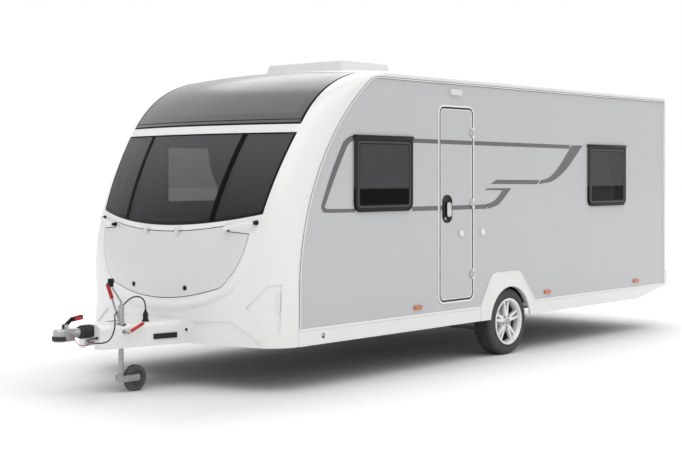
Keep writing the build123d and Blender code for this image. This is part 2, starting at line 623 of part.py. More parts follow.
def running_gear():
    """Chassis, axle, wheels and steadies."""
    web = polygon(
        (st(MEMBER_REAR), FLOOR_LOW), (st(MEMBER_REAR), MEMBER_LOW + 55), (st(900), MEMBER_LOW),
        (st(4600), MEMBER_LOW), (st(MEMBER_FRONT), MEMBER_LOW + 30), (st(MEMBER_FRONT), FLOOR_LOW),
    )
    member = slab_y(web, MEMBER_Y, MEMBER_Y + MEMBER_FLANGE)
    member -= slab_y(offset(web, -6), MEMBER_Y + MEMBER_WEB, MEMBER_Y + MEMBER_FLANGE)
    for k in range(8):
        station = 1150 + 450 * k
        if abs(station - WHEEL_STATION - AXLE_LEAD) > 150:
            member -= rod_y(st(station), (MEMBER_LOW + FLOOR_LOW) / 2, 32, MEMBER_Y - 5, MEMBER_Y + 10)
    save("chassis_members", *both(member))

    span, width = LEG_FRONT - LEG_REAR, LEG_FRONT_Y - LEG_REAR_Y
    leg = Pos(st((LEG_REAR + LEG_FRONT) / 2), (LEG_REAR_Y + LEG_FRONT_Y) / 2, (LEG_LOW + LEG_HIGH) / 2)
    leg = leg * Rot(0, 0, math.degrees(math.atan2(width, span)))
    leg = leg * Box(math.hypot(span, width), LEG_WIDTH, LEG_HIGH - LEG_LOW)
    leg &= block((st(LEG_REAR - 200), st(LEG_FRONT)), (0, MEMBER_Y), (0, 1000))
    save("drawbar_legs", *both(leg))

    crosses = []
    for station in (700, 2000, 4300):
        crosses.append(block((st(station - 25), st(station + 25)), (-MEMBER_Y, MEMBER_Y), (355, 405)))
    for _, station, _, side in STEADIES:
        bracket = block(
            (st(station - 60), st(station + 60)), (STEADY_Y - 40, STEADY_Y + 40), (FLOOR_LOW - 12, FLOOR_LOW)
        )
        for y in (STEADY_Y - 30, STEADY_Y + 24):
            bracket += block((st(station - 22), st(station + 22)), (y, y + 6), (STEADY_Z - 22, FLOOR_LOW - 12))
        bracket += rod_y(st(station), STEADY_Z, STEADY_PIN_R, STEADY_Y - 30, STEADY_Y + 30)
        crosses.append(bracket if side > 0 else mirrored(bracket))
    save("cross_members", *crosses)

    for name, station, way, side in STEADIES:
        leg = steady_leg(station, way)
        save(f"steady_{name}", leg if side > 0 else mirrored(leg))

    axle_x, wheel_x = st(WHEEL_STATION + AXLE_LEAD), st(WHEEL_STATION)
    axle = rod_y(axle_x, AXLE_Z, AXLE_R, -AXLE_END, AXLE_END)
    for side in (1, -1):
        saddle = block((axle_x - 70, axle_x + 70), (MEMBER_Y, MEMBER_Y + MEMBER_FLANGE), (AXLE_Z, MEMBER_LOW))
        arm = make_hull([
            *(Pos(axle_x, AXLE_Z) * Circle(56)).edges(), *(Pos(wheel_x, TYRE_R) * Circle(38)).edges()
        ])
        end = saddle + slab_y(arm, AXLE_END - 10, AXLE_END + 22)
        end += rod_y(wheel_x, TYRE_R, STUB_R, AXLE_END + 15, WHEEL_Y + 10)
        end += rod_y(wheel_x, TYRE_R, DRUM_R + 8, WHEEL_Y - 76, WHEEL_Y - 70)
        axle += end if side > 0 else mirrored(end)
    save("axle_beam", axle)

    place = Pos(wheel_x, WHEEL_Y, TYRE_R)
    for name, turn in (("left", lambda p: p), ("right", mirrored)):
        save(f"{name}_tyre", turn(place * tyre()))
        save(f"{name}_rim", turn(place * rim()))


def steady_leg(station, way):
    """Folding leg with a pivot boss and a foot plate, stowed level under the floor."""
    x, end = st(station), st(station) + way * STEADY_LENGTH
    half = STEADY_WIDTH / 2
    leg = rod_y(x, STEADY_Z, 18, STEADY_Y - half, STEADY_Y + half)
    arm = polygon((x, STEADY_Z - 18), (x, STEADY_Z + 18), (end, STEADY_Z + 16), (end, STEADY_Z - 6))
    leg += slab_y(arm, STEADY_Y - half, STEADY_Y + half)
    leg -= slab_y(
        polygon(
            (x + way * 40, STEADY_Z - 40), (x + way * 40, STEADY_Z + 10), (end - way * 20, STEADY_Z + 10),
            (end - way * 20, STEADY_Z - 40),
        ),
        STEADY_Y - half + 4, STEADY_Y + half - 4,
    )
    foot = (STEADY_Y - STEADY_FOOT_HALF, STEADY_Y + STEADY_FOOT_HALF)
    leg += block(sorted((end - way * 8, end + way * 4)), foot, (STEADY_Z - 24, STEADY_Z + 26))
    return leg - rod_y(x, STEADY_Z, STEADY_PIN_R + PIN_CLEARANCE, STEADY_Y - 40, STEADY_Y + 40)


def tyre():
    """Tyre about the Y axis, centred on its own middle."""
    height = TYRE_R - RIM_SEAT_R
    profile = Pos(RIM_SEAT_R + height / 2, 0) * RectangleRounded(height, TYRE_WIDTH, TYRE_SHOULDER)
    return revolve(profile, Axis.Y)


def rim():
    """Alloy wheel with twin spokes, hub and brake drum; the outer face looks along +Y."""
    half = TYRE_WIDTH / 2
    barrel = polygon(
        (RIM_SEAT_R - RIM_WALL, -half + 8), (RIM_SEAT_R, -half + 8), (RIM_SEAT_R, half - 20),
        (RIM_SEAT_R + RIM_LIP, half - 2), (RIM_SEAT_R + RIM_LIP, half + 4), (RIM_SEAT_R - 4, half + 4),
        (RIM_SEAT_R - RIM_WALL, half - 20),
    )
    wheel = revolve(barrel, Axis.Y)
    spokes = Circle(64)
    reach = RIM_SEAT_R - RIM_WALL / 2
    for k in range(SPOKE_PAIRS):
        for lean in (-9.5, 9.5):
            spoke = polygon((40, -15), (reach, -9), (reach, 9), (40, 15))
            spokes += Rot(0, 0, 90 + 360 * k / SPOKE_PAIRS + lean) * spoke
    wheel += slab_y(spokes, half - 48, half - 22) & rod_y(0, 0, RIM_SEAT_R - 2, -200, 200)
    wheel += rod_y(0, 0, 38, half - 48, half - 12)
    wheel += rod_y(0, 0, DRUM_R, -62, 28) + rod_y(0, 0, 60, 28, half - 30)
    return wheel - rod_y(0, 0, STUB_R + PIN_CLEARANCE, -100, 16)


def drawbar(outer):
    """Coupling, overrun housing, handbrake and fairing."""
    plate = block((st(HOUSING_REAR), st(6500)), (-115, 115), (LEG_HIGH, LEG_HIGH + 15))
    body = block((st(HOUSING_REAR + 40), st(HOUSING_FRONT)), (-50, 50), (LEG_HIGH + 10, HOUSING_HIGH))
    body = fillet(body.edges().filter_by(Axis.X).group_by(Axis.Z)[-1], 18)
    housing = plate + body
    pivot = (st(HANDBRAKE_STATION), 470)
    for y in (-62, -96):
        ear = block((pivot[0] - 30, pivot[0] + 30), (y, y + 6), (LEG_HIGH + 10, 492))
        housing += ear
    housing += rod_y(*pivot, 8, -96, -56)
    save("overrun_housing", housing)

    lean = math.radians(21.5)
    reach = HANDBRAKE_LENGTH
    tip = (pivot[0] + reach * math.sin(lean), pivot[1] + reach * math.cos(lean))
    neck = (pivot[0] + (reach - 115) * math.sin(lean), pivot[1] + (reach - 115) * math.cos(lean))
    lever = rod_y(*pivot, 17, -84, -68)
    lever += rod((pivot[0], -76, pivot[1]), (neck[0], -76, neck[1]), 8)
    lever += rod((neck[0], -76, neck[1]), (tip[0], -76, tip[1]), 14)
    lever -= rod_y(*pivot, 8 + PIN_CLEARANCE, -90, -60)
    save("handbrake_lever", lever)

    points = [(st(HOUSING_FRONT), 44)]
    folds = 6
    for k in range(folds):
        x = st(HOUSING_FRONT + 8 + 17 * k)
        points += [(x, 41), (x + 8, 50)]
    points += [(st(HEAD_REAR - 10), 42), (st(HEAD_REAR), 42), (st(HEAD_REAR), 31), (st(HOUSING_FRONT), 31)]
    bellows = Pos(0, 0, DRAWTUBE_Z) * revolve(Plane.XZ * polygon(*points), Axis.X)
    ball = Pos(st(BALL_STATION), 0)
    dock = slab_z(ball * (Circle(HEAD_R + DOCK_THICK) - Circle(HEAD_R + 0.2)), HEAD_LOW + 8, HEAD_LOW + 40)
    dock &= block((st(BALL_STATION - 12), st(BALL_STATION + 200)), (-200, 200), (0, 1000))
    save("coupling_rubbers", bellows, dock)

    head_plan = make_hull([
        *(Pos(st(6940), 0) * Circle(34)).edges(), *(ball * Circle(HEAD_R)).edges()
    ])
    head = slab_z(head_plan, HEAD_LOW, HEAD_HIGH)
    head = fillet(head.edges().group_by(Axis.Z)[-1], 16)
    head += rod((st(HEAD_REAR), 0, DRAWTUBE_Z), (st(6950), 0, DRAWTUBE_Z), 34)
    head += rod((st(HOUSING_FRONT), 0, DRAWTUBE_Z), (st(6900), 0, DRAWTUBE_Z), DRAWTUBE_R)
    head -= rod_z(st(BALL_STATION), 0, BALL_POCKET_R, HEAD_LOW - 10, HEAD_LOW + 35)
    head -= Pos(st(BALL_STATION), 0, HEAD_LOW + 35) * Sphere(BALL_POCKET_R)
    hinge = (st(6985), HEAD_HIGH + 22)
    for y in (-22, 15):
        head += block((hinge[0] - 16, hinge[0] + 16), (y, y + 7), (HEAD_HIGH - 20, hinge[1] + 12))
    head += rod_y(*hinge, 6, -22, 22)
    save("coupling_head", head)

    arm = polygon(
        (hinge[0] - 12, hinge[1] - 6), (hinge[0] + 8, hinge[1] + 10), (st(6938), HEAD_HIGH + 74),
        (st(6846), HEAD_HIGH + 88), (st(6846), HEAD_HIGH + 64), (st(6928), HEAD_HIGH + 52),
    )
    grip = polygon(
        (st(6930), HEAD_HIGH + 50), (st(6930), HEAD_HIGH + 78), (st(6836), HEAD_HIGH + 92),
        (st(6836), HEAD_HIGH + 60),
    )
    handle = slab_y(arm, -9, 9) + slab_y(grip, -17, 17) + rod_y(*hinge, 13, -9, 9)
    save("coupling_lever", handle - rod_y(*hinge, 6 + PIN_CLEARANCE, -30, 30))
    fairing(outer, pivot)


def fairing(outer, pivot):
    """Tapering drawbar cover with its vents and the parking socket."""
    def hoop(station, half, low, high, inset=0):
        shape = Pos(0, (low + high) / 2) * RectangleRounded(
            2 * (half - inset), high - low - 2 * inset, 40 - inset
        )
        return Plane.YZ.offset(st(station)) * shape

    rear, front = FAIRING_REAR - 80, FAIRING_FRONT
    taper = (285 - 125) / (FAIRING_FRONT - FAIRING_REAR)

    def half_at(station):
        return 125 + taper * (FAIRING_FRONT - station)

    hull = loft([hoop(rear, half_at(rear), 300, FAIRING_TOP_REAR), hoop(front, 125, 300, FAIRING_TOP_FRONT)], ruled=True)
    room = loft(
        [hoop(rear - 20, half_at(rear - 20), 250, FAIRING_TOP_REAR, FAIRING_SKIN),
         hoop(front - FAIRING_SKIN, half_at(front - FAIRING_SKIN), 250, FAIRING_TOP_FRONT, FAIRING_SKIN)], ruled=True
    )
    solid = (hull & block((st(rear), st(front)), (-500, 500), (SHELL_LOW - 5, 700))) - outer
    cover = solid - room
    cover -= block((st(FAIRING_FRONT - 40), st(FAIRING_FRONT + 10)), (-58, 58), (0, 600))
    cover -= rod_z(st(JOCKEY_STATION), JOCKEY_Y, 40, 300, 600)
    cover -= block((pivot[0] - 45, pivot[0] + 140), (-104, -50), (440, 600))
    cover -= rod_y(st(JOCKEY_STATION + 10), 455, 14, 100, 250)
    gland = rod((st(FAIRING_FRONT), 95, 420), (st(LEAD_ROUTE[0][0]), 95, 420), 10)
    save("a_frame_fairing", cover)

    socket = rod_z(st(LEAD_ROUTE[-1][0]), LEAD_ROUTE[-1][1], 27, 470, PLUG_FOOT_Z) - hull
    vents = []
    for side in (1, -1):
        vent = block((st(6150), st(6340)), (150, 320), (385, 425)) - hull
        thick = loft([hoop(rear, half_at(rear) + 10, 300, 560), hoop(front, 135, 300, 550)], ruled=True)
        vent = (vent & thick) - outer
        vents.append(vent if side > 0 else mirrored(vent))
    save("fairing_fittings", socket, gland, *vents)

    plug_x, plug_y = st(LEAD_ROUTE[-1][0]), LEAD_ROUTE[-1][1]
    plug = rod_z(plug_x, plug_y, 21, PLUG_FOOT_Z, PLUG_FOOT_Z + PLUG_BODY)
    plug += Pos(plug_x, plug_y, PLUG_FOOT_Z + PLUG_BODY + PLUG_NECK / 2) * Cone(19, 8, PLUG_NECK)
    save("lead_plug", plug)
    save("plug_lead", cord(LEAD_ROUTE, LEAD_DIAMETER))
    save("breakaway_cable", cord(BREAKAWAY_ROUTE, BREAKAWAY_DIAMETER))


def jockey_wheel():
    """Clamped tube with crank, sliding stem, castoring fork and wheel."""
    x, y = st(JOCKEY_STATION), JOCKEY_Y
    tube = rod_z(x, y, JOCKEY_TUBE_R, JOCKEY_TUBE_LOW, JOCKEY_TUBE_HIGH)
    tube -= rod_z(x, y, JOCKEY_STEM_R + 0.3, JOCKEY_TUBE_LOW - 10, JOCKEY_TUBE_HIGH - 12)
    tube += rod_z(x, y, 34, 440, 470) - rod_z(x, y, JOCKEY_TUBE_R, 400, 500)
    tube += block((st(6440), x - 20), (y - 26, y - 2), (LEG_HIGH + 15, 470)) - rod_z(x, y, 30, 400, 500)
    tube += rod_z(x, y, 9, JOCKEY_TUBE_HIGH - 2, JOCKEY_TUBE_HIGH + 30)
    tube += rod((x, y, JOCKEY_TUBE_HIGH + 28), (x + 95, y, JOCKEY_KNOB_Z + 7), 7)
    tube += rod_z(x + 95, y, 19, JOCKEY_KNOB_Z, JOCKEY_KNOB_Z + 57)
    clamp_x, clamp_z = x + 10, 455
    tube += rod_y(clamp_x, clamp_z, 9, y + 26, 218)
    tube += rod((clamp_x, 212, clamp_z - 5), (clamp_x - 137, 226, clamp_z + 60), 10)
    save("jockey_tube", tube)

    shoulder, spigot_low = 146, 86
    stem = rod_z(x, y, JOCKEY_STEM_R, shoulder, JOCKEY_TUBE_HIGH - 12 - JOCKEY_STROKE - 8)
    stem += rod_z(x, y, 12, spigot_low, shoulder)
    save("jockey_stem", stem)

    axle_x, axle_z = x - JOCKEY_TRAIL, JOCKEY_WHEEL_R
    fork = block((x - 22, x + 20), (y - 42, y + 42), (axle_z - 12, axle_z + 28))
    cheek = round_rect(axle_x - 18, x + 20, axle_z - 16, axle_z + 32, 16)
    for low in (y - 42, y + 36):
        fork += slab_y(cheek, low, low + 6)
    fork += rod_z(x, y, 24, axle_z - 16, shoulder - 2)
    fork -= rod_z(x, y, 12 + PIN_CLEARANCE, spigot_low - 20, shoulder + 10)
    fork += rod_y(axle_x, axle_z, 8, y - 42, y + 42)
    save("jockey_fork", fork)

    half = JOCKEY_TREAD / 2
    profile = polygon(
        (8 + PIN_CLEARANCE, -28), (22, -28), (30, -12), (56, -12), (62, -half), (JOCKEY_WHEEL_R - 8, -half),
        (JOCKEY_WHEEL_R, 8 - half), (JOCKEY_WHEEL_R, half - 8), (JOCKEY_WHEEL_R - 8, half), (62, half),
        (56, 12), (30, 12), (22, 28), (8 + PIN_CLEARANCE, 28),
    )
    save("jockey_wheel", Pos(axle_x, y, axle_z) * revolve(profile, Axis.Y))


def carcass(x, y, z):
    """Furniture box with a top and four sides, open to the floor."""
    room = [(low + BOARD, high - BOARD) for low, high in (x, y)]
    return block(x, y, z) - block(*room, (z[0] - 1, z[1] - BOARD))


def interior():
    """Furniture, cushions and curtains that show through the glass."""
    inside = HALF - WALL
    bench = carcass((st(4150), st(5400)), (470, inside - 5), (FLOOR_HIGH, 800))
    chest = carcass((st(5240), st(5610)), (-440, 440), (FLOOR_HIGH, 1050))
    bed = carcass((st(120), st(1900)), (-300, inside - 5), (FLOOR_HIGH, 780))
    kitchen = carcass((st(2300), st(3360)), (-inside + 5, -520), (FLOOR_HIGH, 1370))
    wheel = st(WHEEL_STATION)
    kitchen -= block(
        (wheel - BOX_HALF - 5, wheel + BOX_HALF + 60), (-inside, 5 - BOX_INNER_Y), (0, BOX_HIGH + 5)
    )
    save("furniture", *both(bench), chest, bed, kitchen)

    seat = block((st(4160), st(5390)), (475, inside - 8), (800, 930))
    back = block((st(4160), st(5390)), (inside - 150, inside - 8), (930, 1300))
    mattress = block((st(130), st(1890)), (-290, inside - 8), (780, 930))
    save("cushions", *both(seat), *both(back), mattress)

    curtains = []
    for side, low, high, sill, head in SIDE_WINDOWS:
        if side > 0 or low != 2500:
            x = st(low)
            drape = polygon(
                (x + 10, head + 30), (x + 270, head + 30), (x + 150, sill + 170), (x + 170, sill - 20),
                (x + 10, sill - 20),
            )
            cloth = slab_y(drape, inside - 46, inside - CLOTH_GAP)
            curtains.append(cloth if side > 0 else mirrored(cloth))
    save("curtains", *curtains)


def main():
    outer = front_mouldings()
    grab_handles(outer)
    cabin_walls()
    wall_fittings(rear_end())
    running_gear()
    drawbar(outer)
    jockey_wheel()
    interior()


main()
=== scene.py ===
"""Dressed studio model of a single-axle travel caravan.

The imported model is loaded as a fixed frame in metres: +X forward, +Y to the left, +Z up. The classes
below give every piece of it a finish and add the trim, decals, treads, leads and soft goods. Stations
are millimetres forward of the rear edge of the side walls, as a body maker measures them.
"""

from __future__ import annotations

import json
import logging
import math
from dataclasses import dataclass
from enum import Enum
from typing import Any, Callable, Iterable, Sequence

import bmesh
import bpy
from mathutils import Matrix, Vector
from mathutils.bvhtree import BVHTree

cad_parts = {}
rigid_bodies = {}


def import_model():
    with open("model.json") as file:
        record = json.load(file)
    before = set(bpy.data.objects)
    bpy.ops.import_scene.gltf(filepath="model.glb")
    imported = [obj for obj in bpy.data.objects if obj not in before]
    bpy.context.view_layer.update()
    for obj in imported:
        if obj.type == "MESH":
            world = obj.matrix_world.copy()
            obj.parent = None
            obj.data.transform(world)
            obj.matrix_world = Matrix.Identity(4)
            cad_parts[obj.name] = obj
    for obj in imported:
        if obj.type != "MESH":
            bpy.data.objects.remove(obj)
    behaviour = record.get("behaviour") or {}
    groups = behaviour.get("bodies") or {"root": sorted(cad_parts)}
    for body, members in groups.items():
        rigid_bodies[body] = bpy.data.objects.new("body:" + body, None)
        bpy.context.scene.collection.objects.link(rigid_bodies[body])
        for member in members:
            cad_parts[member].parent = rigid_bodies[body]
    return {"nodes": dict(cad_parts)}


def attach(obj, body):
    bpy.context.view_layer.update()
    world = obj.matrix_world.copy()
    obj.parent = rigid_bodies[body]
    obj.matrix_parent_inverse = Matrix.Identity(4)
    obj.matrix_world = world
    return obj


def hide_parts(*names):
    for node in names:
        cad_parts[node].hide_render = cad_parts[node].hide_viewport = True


LOG = logging.getLogger("caravan")

Colour = tuple[float, float, float]
Flat = tuple[float, float]
Point = tuple[float, float, float]
Line = Sequence[Flat]
Nodes = dict[str, bpy.types.Object]
Ray = Callable[[Flat], tuple[Point, Point]]
Socket = bpy.types.NodeSocket
Thing = bpy.types.Object

REAR_X = -3.447725      # X of station 0
HALF = 1.115            # half width over the side walls
PANEL_INSIDE = 1.085    # Y of the walls' inner faces
DECAL_THICK = 0.0004
STRIP_SUNK = 0.003      # depth of the back of a strip that follows the nose


def at(station: float) -> float:
    """X in metres of a station in millimetres."""
    return REAR_X + station / 1000


def flat(spot: Flat) -> Flat:
    """X and Z in metres of a station and a height in millimetres."""
    return at(spot[0]), spot[1] / 1000


def solid(spot: Point) -> Point:
    """X, Y and Z in metres of a station, a Y and a height in millimetres."""
    return at(spot[0]), spot[1] / 1000, spot[2] / 1000


def grown(spot: Flat, amount: float) -> Flat:
    """Spot moved by one amount along both axes."""
    return spot[0] + amount, spot[1] + amount


def turns(count: int) -> list[float]:
    """Angles of equal steps round a circle."""
    return [2 * math.pi * k / count for k in range(count)]


def srgb(red: int, green: int, blue: int) -> Colour:
    """Linear colour of an 8-bit display colour."""
    return tuple((c / 255 / 12.92) if c < 11 else ((c / 255 + 0.055) / 1.055) ** 2.4 for c in (red, green, blue))


def scaled(colour: Colour, share: float, lift: float = 0.0) -> Colour:
    """Colour times a share plus a lift, up to white."""
    return tuple(min(c * share + lift, 1.0) for c in colour)


class Side(Enum):
    """Side of the caravan, as the sign of Y."""

    LEFT = 1
    RIGHT = -1

    @property
    def label(self) -> str:
        """Ending of the names of pieces on this side."""
        return self.name.lower()


class Body(Enum):
    """Moving and fixed bodies that added pieces ride on."""

    SHELL = "body"
    DOOR = "door"
    LID = "gas_lid"
    WHEEL_LEFT = "wheel_left"
    WHEEL_RIGHT = "wheel_right"
    COUPLING = "coupling_handle"
    HANDBRAKE = "handbrake"


class Ends(Enum):
    """What becomes of the first and the last row of a skin."""

    CAPPED = "capped"
    OPEN = "open"
    JOINED = "joined"


class ShaderGraph:
    """Node tree of one material, with short calls for the textures that the finishes share."""

    def __init__(self, name: str) -> None:
        """Start a tree with one principled shader.

        Args:
            name: Name of the material.
        """
        self.material = bpy.data.materials.new(name)
        self.material.use_nodes = True
        self.tree = self.material.node_tree
        self.tree.nodes.clear()
        self.shader = self.node("BsdfPrincipled")
        self.node("OutputMaterial", {"Surface": self.shader.outputs["BSDF"]})
        self.place = self.node("TexCoord").outputs["Object"]

    def node(self, kind: str, sockets: dict[Any, Any] | None = None, **settings: Any) -> bpy.types.Node:
        """Add a shader node.

        Args:
            kind: Blender's type name of the node, without its prefix.
            sockets: Values of its inputs, or the outputs joined to them, by name or number.
            **settings: Values of its own properties.

        Returns:
            The new node.
        """
        made = self.tree.nodes.new(f"ShaderNode{kind}")
        for key, value in settings.items():
            setattr(made, key, value)
        for key, value in (sockets or {}).items():
            if isinstance(value, Socket):
                self.tree.links.new(value, made.inputs[key])
            else:
                made.inputs[key].default_value = value
        return made

    def feed(self, socket: str, source: Socket) -> None:
        """Join a texture to an input of the shader."""
        self.tree.links.new(source, self.shader.inputs[socket])

    def set(self, **values: Any) -> None:
        """Set uniform values on the shader; underscores stand for spaces."""
        for key, value in values.items():
            self.shader.inputs[key.replace("_", " ")].default_value = value

    def stretched(self, scale: Point) -> Socket:
        """Object coordinates scaled along each axis."""
        return self.node("Mapping", {"Vector": self.place, "Scale": scale}).outputs["Vector"]

    def noise(self, scale: float, detail: float = 3.0, vector: Socket | None = None) -> Socket:
        """Fractal noise from 0 to 1, by its features per metre and its octaves."""
        sockets = {"Vector": vector or self.place, "Scale": scale, "Detail": detail, "Roughness": 0.55}
        return self.node("TexNoise", sockets).outputs[0]

    def cells(self, scale: float) -> Socket:
        """Random grey of each Voronoi cell, with so many cells per metre."""
        colour = self.node("TexVoronoi", {"Vector": self.place, "Scale": scale}).outputs["Color"]
        return self.node("RGBToBW", {0: colour}).outputs[0]

    def bands(self, scale: float, along: str, distortion: float = 0.0, vector: Socket | None = None) -> Socket:
        """Sine bands from 0 to 1 that follow one another along an axis, bent by noise."""
        sockets = {"Vector": vector or self.place, "Scale": scale, "Distortion": distortion, "Detail": 2.0}
        return self.node("TexWave", sockets, bands_direction=along).outputs[1]

    def span(self, value: Socket, source: Flat, target: Flat) -> Socket:
        """Map one range to another and clamp it."""
        ends = dict(zip(("From Min", "From Max", "To Min", "To Max"), (*source, *target)))
        return self.node("MapRange", {"Value": value, **ends}).outputs["Result"]

    def levels(self, value: Socket, low: float, high: float) -> Socket:
        """Spread a noise value over another range."""
        return self.span(value, (0.25, 0.75), (low, high))

    def calc(self, how: str, *values: Socket | float) -> Socket:
        """Arithmetic on one or two values, by Blender's name of the operation."""
        return self.node("Math", dict(enumerate(values)), operation=how).outputs[0]

    def axis(self, name: str) -> Socket:
        """One coordinate of the object's own frame."""
        return self.node("SeparateXYZ", {0: self.place}).outputs[name]

    def mix(self, factor: Socket, low: Socket | Colour, high: Socket | Colour) -> Socket:
        """Blend two colours by the share of the second."""
        ends = [(*colour, 1) if isinstance(colour, tuple) else colour for colour in (low, high)]
        return self.node("Mix", {0: factor, 6: ends[0], 7: ends[1]}, data_type="RGBA").outputs[2]

    def tone(self, colour: Colour, spread: float, scale: float) -> Socket:
        """Colour that drifts a little darker and lighter, by its features per metre."""
        drift = self.levels(self.noise(scale), 0.0, 1.0)
        return self.mix(drift, scaled(colour, 1 - spread), scaled(colour, 1 + spread))

    def gloss(self, drift: Socket, middle: float, down: float, up: float) -> None:
        """Give the shader a roughness that drifts about a middle value."""
        self.feed("Roughness", self.levels(drift, middle - down, middle + up))

    def bump(self, height: Socket, strength: float, distance: float) -> None:
        """Give the shader a bump; the distance is the height in metres of a value of 1."""
        sockets = {"Height": height, "Strength": strength, "Distance": distance}
        self.feed("Normal", self.node("Bump", sockets).outputs[0])

    def seen(self) -> Socket:
        """Tell the rays of the eye, of mirrors and of clear panes.

        Returns:
            1 for these rays, 0 for others.
        """
        rays = self.node("LightPath").outputs
        direct = self.calc("MAXIMUM", rays["Is Camera Ray"], rays["Is Glossy Ray"])
        return self.calc("MAXIMUM", direct, rays["Is Transmission Ray"])


# The middle grey of the wheel is the drum's iron and the painted shade inside the wheel barrel.
ROAD_DUST, DRUM_AND_SHADE_GREY, ZINC_DULL = srgb(168, 160, 148), srgb(92, 91, 90), srgb(150, 150, 148)
TYRE_DUST, BOARD_SEAL, FLAKE_GLINT = srgb(96, 92, 86), srgb(28, 28, 29), (0.9, 0.9, 0.92)


@dataclass(frozen=True)
class Finish:
    """Base of the surface finishes: a named colour and gloss."""

    name: str
    colour: Colour
    roughness: float = 0.4

    def material(self) -> bpy.types.Material:
        """Material of this finish, made on its first use."""
        return bpy.data.materials.get(self.name) or self.make()

    def make(self) -> bpy.types.Material:
        """Build the node tree.

        Returns:
            The new material.
        """
        graph = ShaderGraph(self.name)
        self.shade(graph)
        return graph.material

    def shade(self, graph: ShaderGraph) -> None:
        """Fill the node tree; each finish has its own."""
        raise NotImplementedError


@dataclass(frozen=True)
class BodyPaint(Finish):
    """Sprayed panel: orange peel, faint waviness, road dust low down and, where wanted, flake."""

    flake: float = 0.0
    dust: float = 0.06

    def shade(self, graph: ShaderGraph) -> None:
        """Lay the paint, its flake and the dust.

        Args:
            graph: Node tree to fill.
        """
        paint = graph.tone(self.colour, 0.008, 1.7)
        if self.flake:
            spark = graph.span(graph.cells(1500.0), (0.3, 0.95), (0.0, 0.16))
            paint = graph.mix(spark, paint, FLAKE_GLINT)
        low = graph.span(graph.axis("Z"), (0.34, 0.85), (self.dust, 0.0))
        film = graph.calc("MULTIPLY", low, graph.levels(graph.noise(9.0, 5.0), 0.2, 1.0))
        graph.feed("Base Color", graph.mix(film, paint, ROAD_DUST))
        sheen = graph.levels(graph.noise(5.0), self.roughness - 0.05, self.roughness + 0.07)
        graph.feed("Roughness", graph.calc("ADD", sheen, graph.calc("MULTIPLY", film, 0.5)))
        graph.set(Metallic=self.flake, Coat_Weight=0.35, Coat_Roughness=0.08)
        graph.bump(graph.noise(190.0, 2.0), 0.05, 0.001)


@dataclass(frozen=True)
class StuccoSheet(Finish):
    """Coated sheet with a pressed pebble texture, as on a roof."""

    def shade(self, graph: ShaderGraph) -> None:
        """Lay the coat and the pebbles.

        Args:
            graph: Node tree to fill.
        """
        graph.feed("Base Color", graph.tone(self.colour, 0.03, 2.2))
        graph.gloss(graph.noise(7.0), self.roughness, 0.06, 0.1)
        graph.bump(graph.noise(85.0, 1.5), 0.22, 0.002)
        graph.set(Coat_Weight=0.15, Coat_Roughness=0.15)


@dataclass(frozen=True)
class TintedPane(Finish):
    """Tinted acrylic that lets the inside show a little, with faint wipe marks and, where wanted, a paler head that is
    a painted reflection.

    The open pane is one whose blind is up: it lies ahead of an X and right of a Y, and has its own clear share.
    """

    clear: float = 0.45
    # upper: colour of the painted reflection at the head of the pane; rise: heights over which it fades in
    upper: Colour | None = None
    rise: Flat = (1.3, 1.9)
    index: float = 1.4
    open_pane: Point | None = None

    def shade(self, graph: ShaderGraph) -> None:
        """Lay the tint and its paler head, which is a painted reflection, the wipe marks and the see-through share.

        Args:
            graph: Node tree to fill.
        """
        tint = graph.tone(self.colour, 0.1, 1.2)
        # Above the rise heights the tint blends into the upper colour: a painted reflection of the bright room on the
        # pane.
        if self.upper:
            tint = graph.mix(graph.span(graph.axis("Z"), self.rise, (0.0, 1.0)), tint, self.upper)
        graph.feed("Base Color", tint)
        graph.gloss(graph.noise(6.0, 5.0, graph.stretched((1.0, 1.0, 0.25))), self.roughness, 0.0, 0.06)
        graph.set(Alpha=1.0 - self.clear, IOR=self.index)
        if self.open_pane:
            front, left, clear = self.open_pane
            ahead = graph.span(graph.axis("X"), (front - 0.01, front), (0.0, 1.0))
            aside = graph.span(graph.axis("Y"), (left, left + 0.01), (1.0, 0.0))
            share = graph.calc("MULTIPLY", ahead, aside)
            graph.feed("Alpha", graph.span(share, (0.0, 1.0), (1.0 - self.clear, 1.0 - clear)))
        graph.bump(graph.noise(3.5, 1.0), 0.08, 0.004)


@dataclass(frozen=True)
class MouldedPlastic(Finish):
    """Grained moulded plastic with a worn bloom."""

    grain: float = 620.0
    shine: float = 0.5
    bloom: float = 0.16

    def shade(self, graph: ShaderGraph) -> None:
        """Lay the colour, the bloom and the leather-like grain.

        Args:
            graph: Node tree to fill.
        """
        bloom = graph.levels(graph.noise(14.0, 5.0), 0.0, self.bloom)
        graph.feed("Base Color", graph.mix(bloom, graph.tone(self.colour, 0.06, 5.0), scaled(self.colour, 1.5, 0.03)))
        graph.gloss(graph.noise(22.0), self.roughness, 0.07, 0.09)
        graph.set(Specular_IOR_Level=self.shine)
        graph.bump(graph.noise(self.grain, 2.0), 0.14, 0.0006)


@dataclass(frozen=True)
class ZincCoat(Finish):
    """Hot-dip galvanised steel with its spangle."""

    spangle: float = 75.0

    def shade(self, graph: ShaderGraph) -> None:
        """Lay the spangle and the dull patches.

        Args:
            graph: Node tree to fill.
        """
        grains = graph.span(graph.cells(self.spangle), (0.1, 0.9), (0.0, 1.0))
        metal = graph.mix(grains, scaled(self.colour, 0.72), self.colour)
        graph.feed("Base Color", graph.mix(graph.levels(graph.noise(11.0, 5.0), 0.0, 0.55), metal, ZINC_DULL))
        graph.gloss(graph.noise(30.0, 4.0), self.roughness, 0.08, 0.14)
        graph.set(Metallic=0.85)
        graph.bump(graph.noise(130.0, 3.0), 0.12, 0.0008)


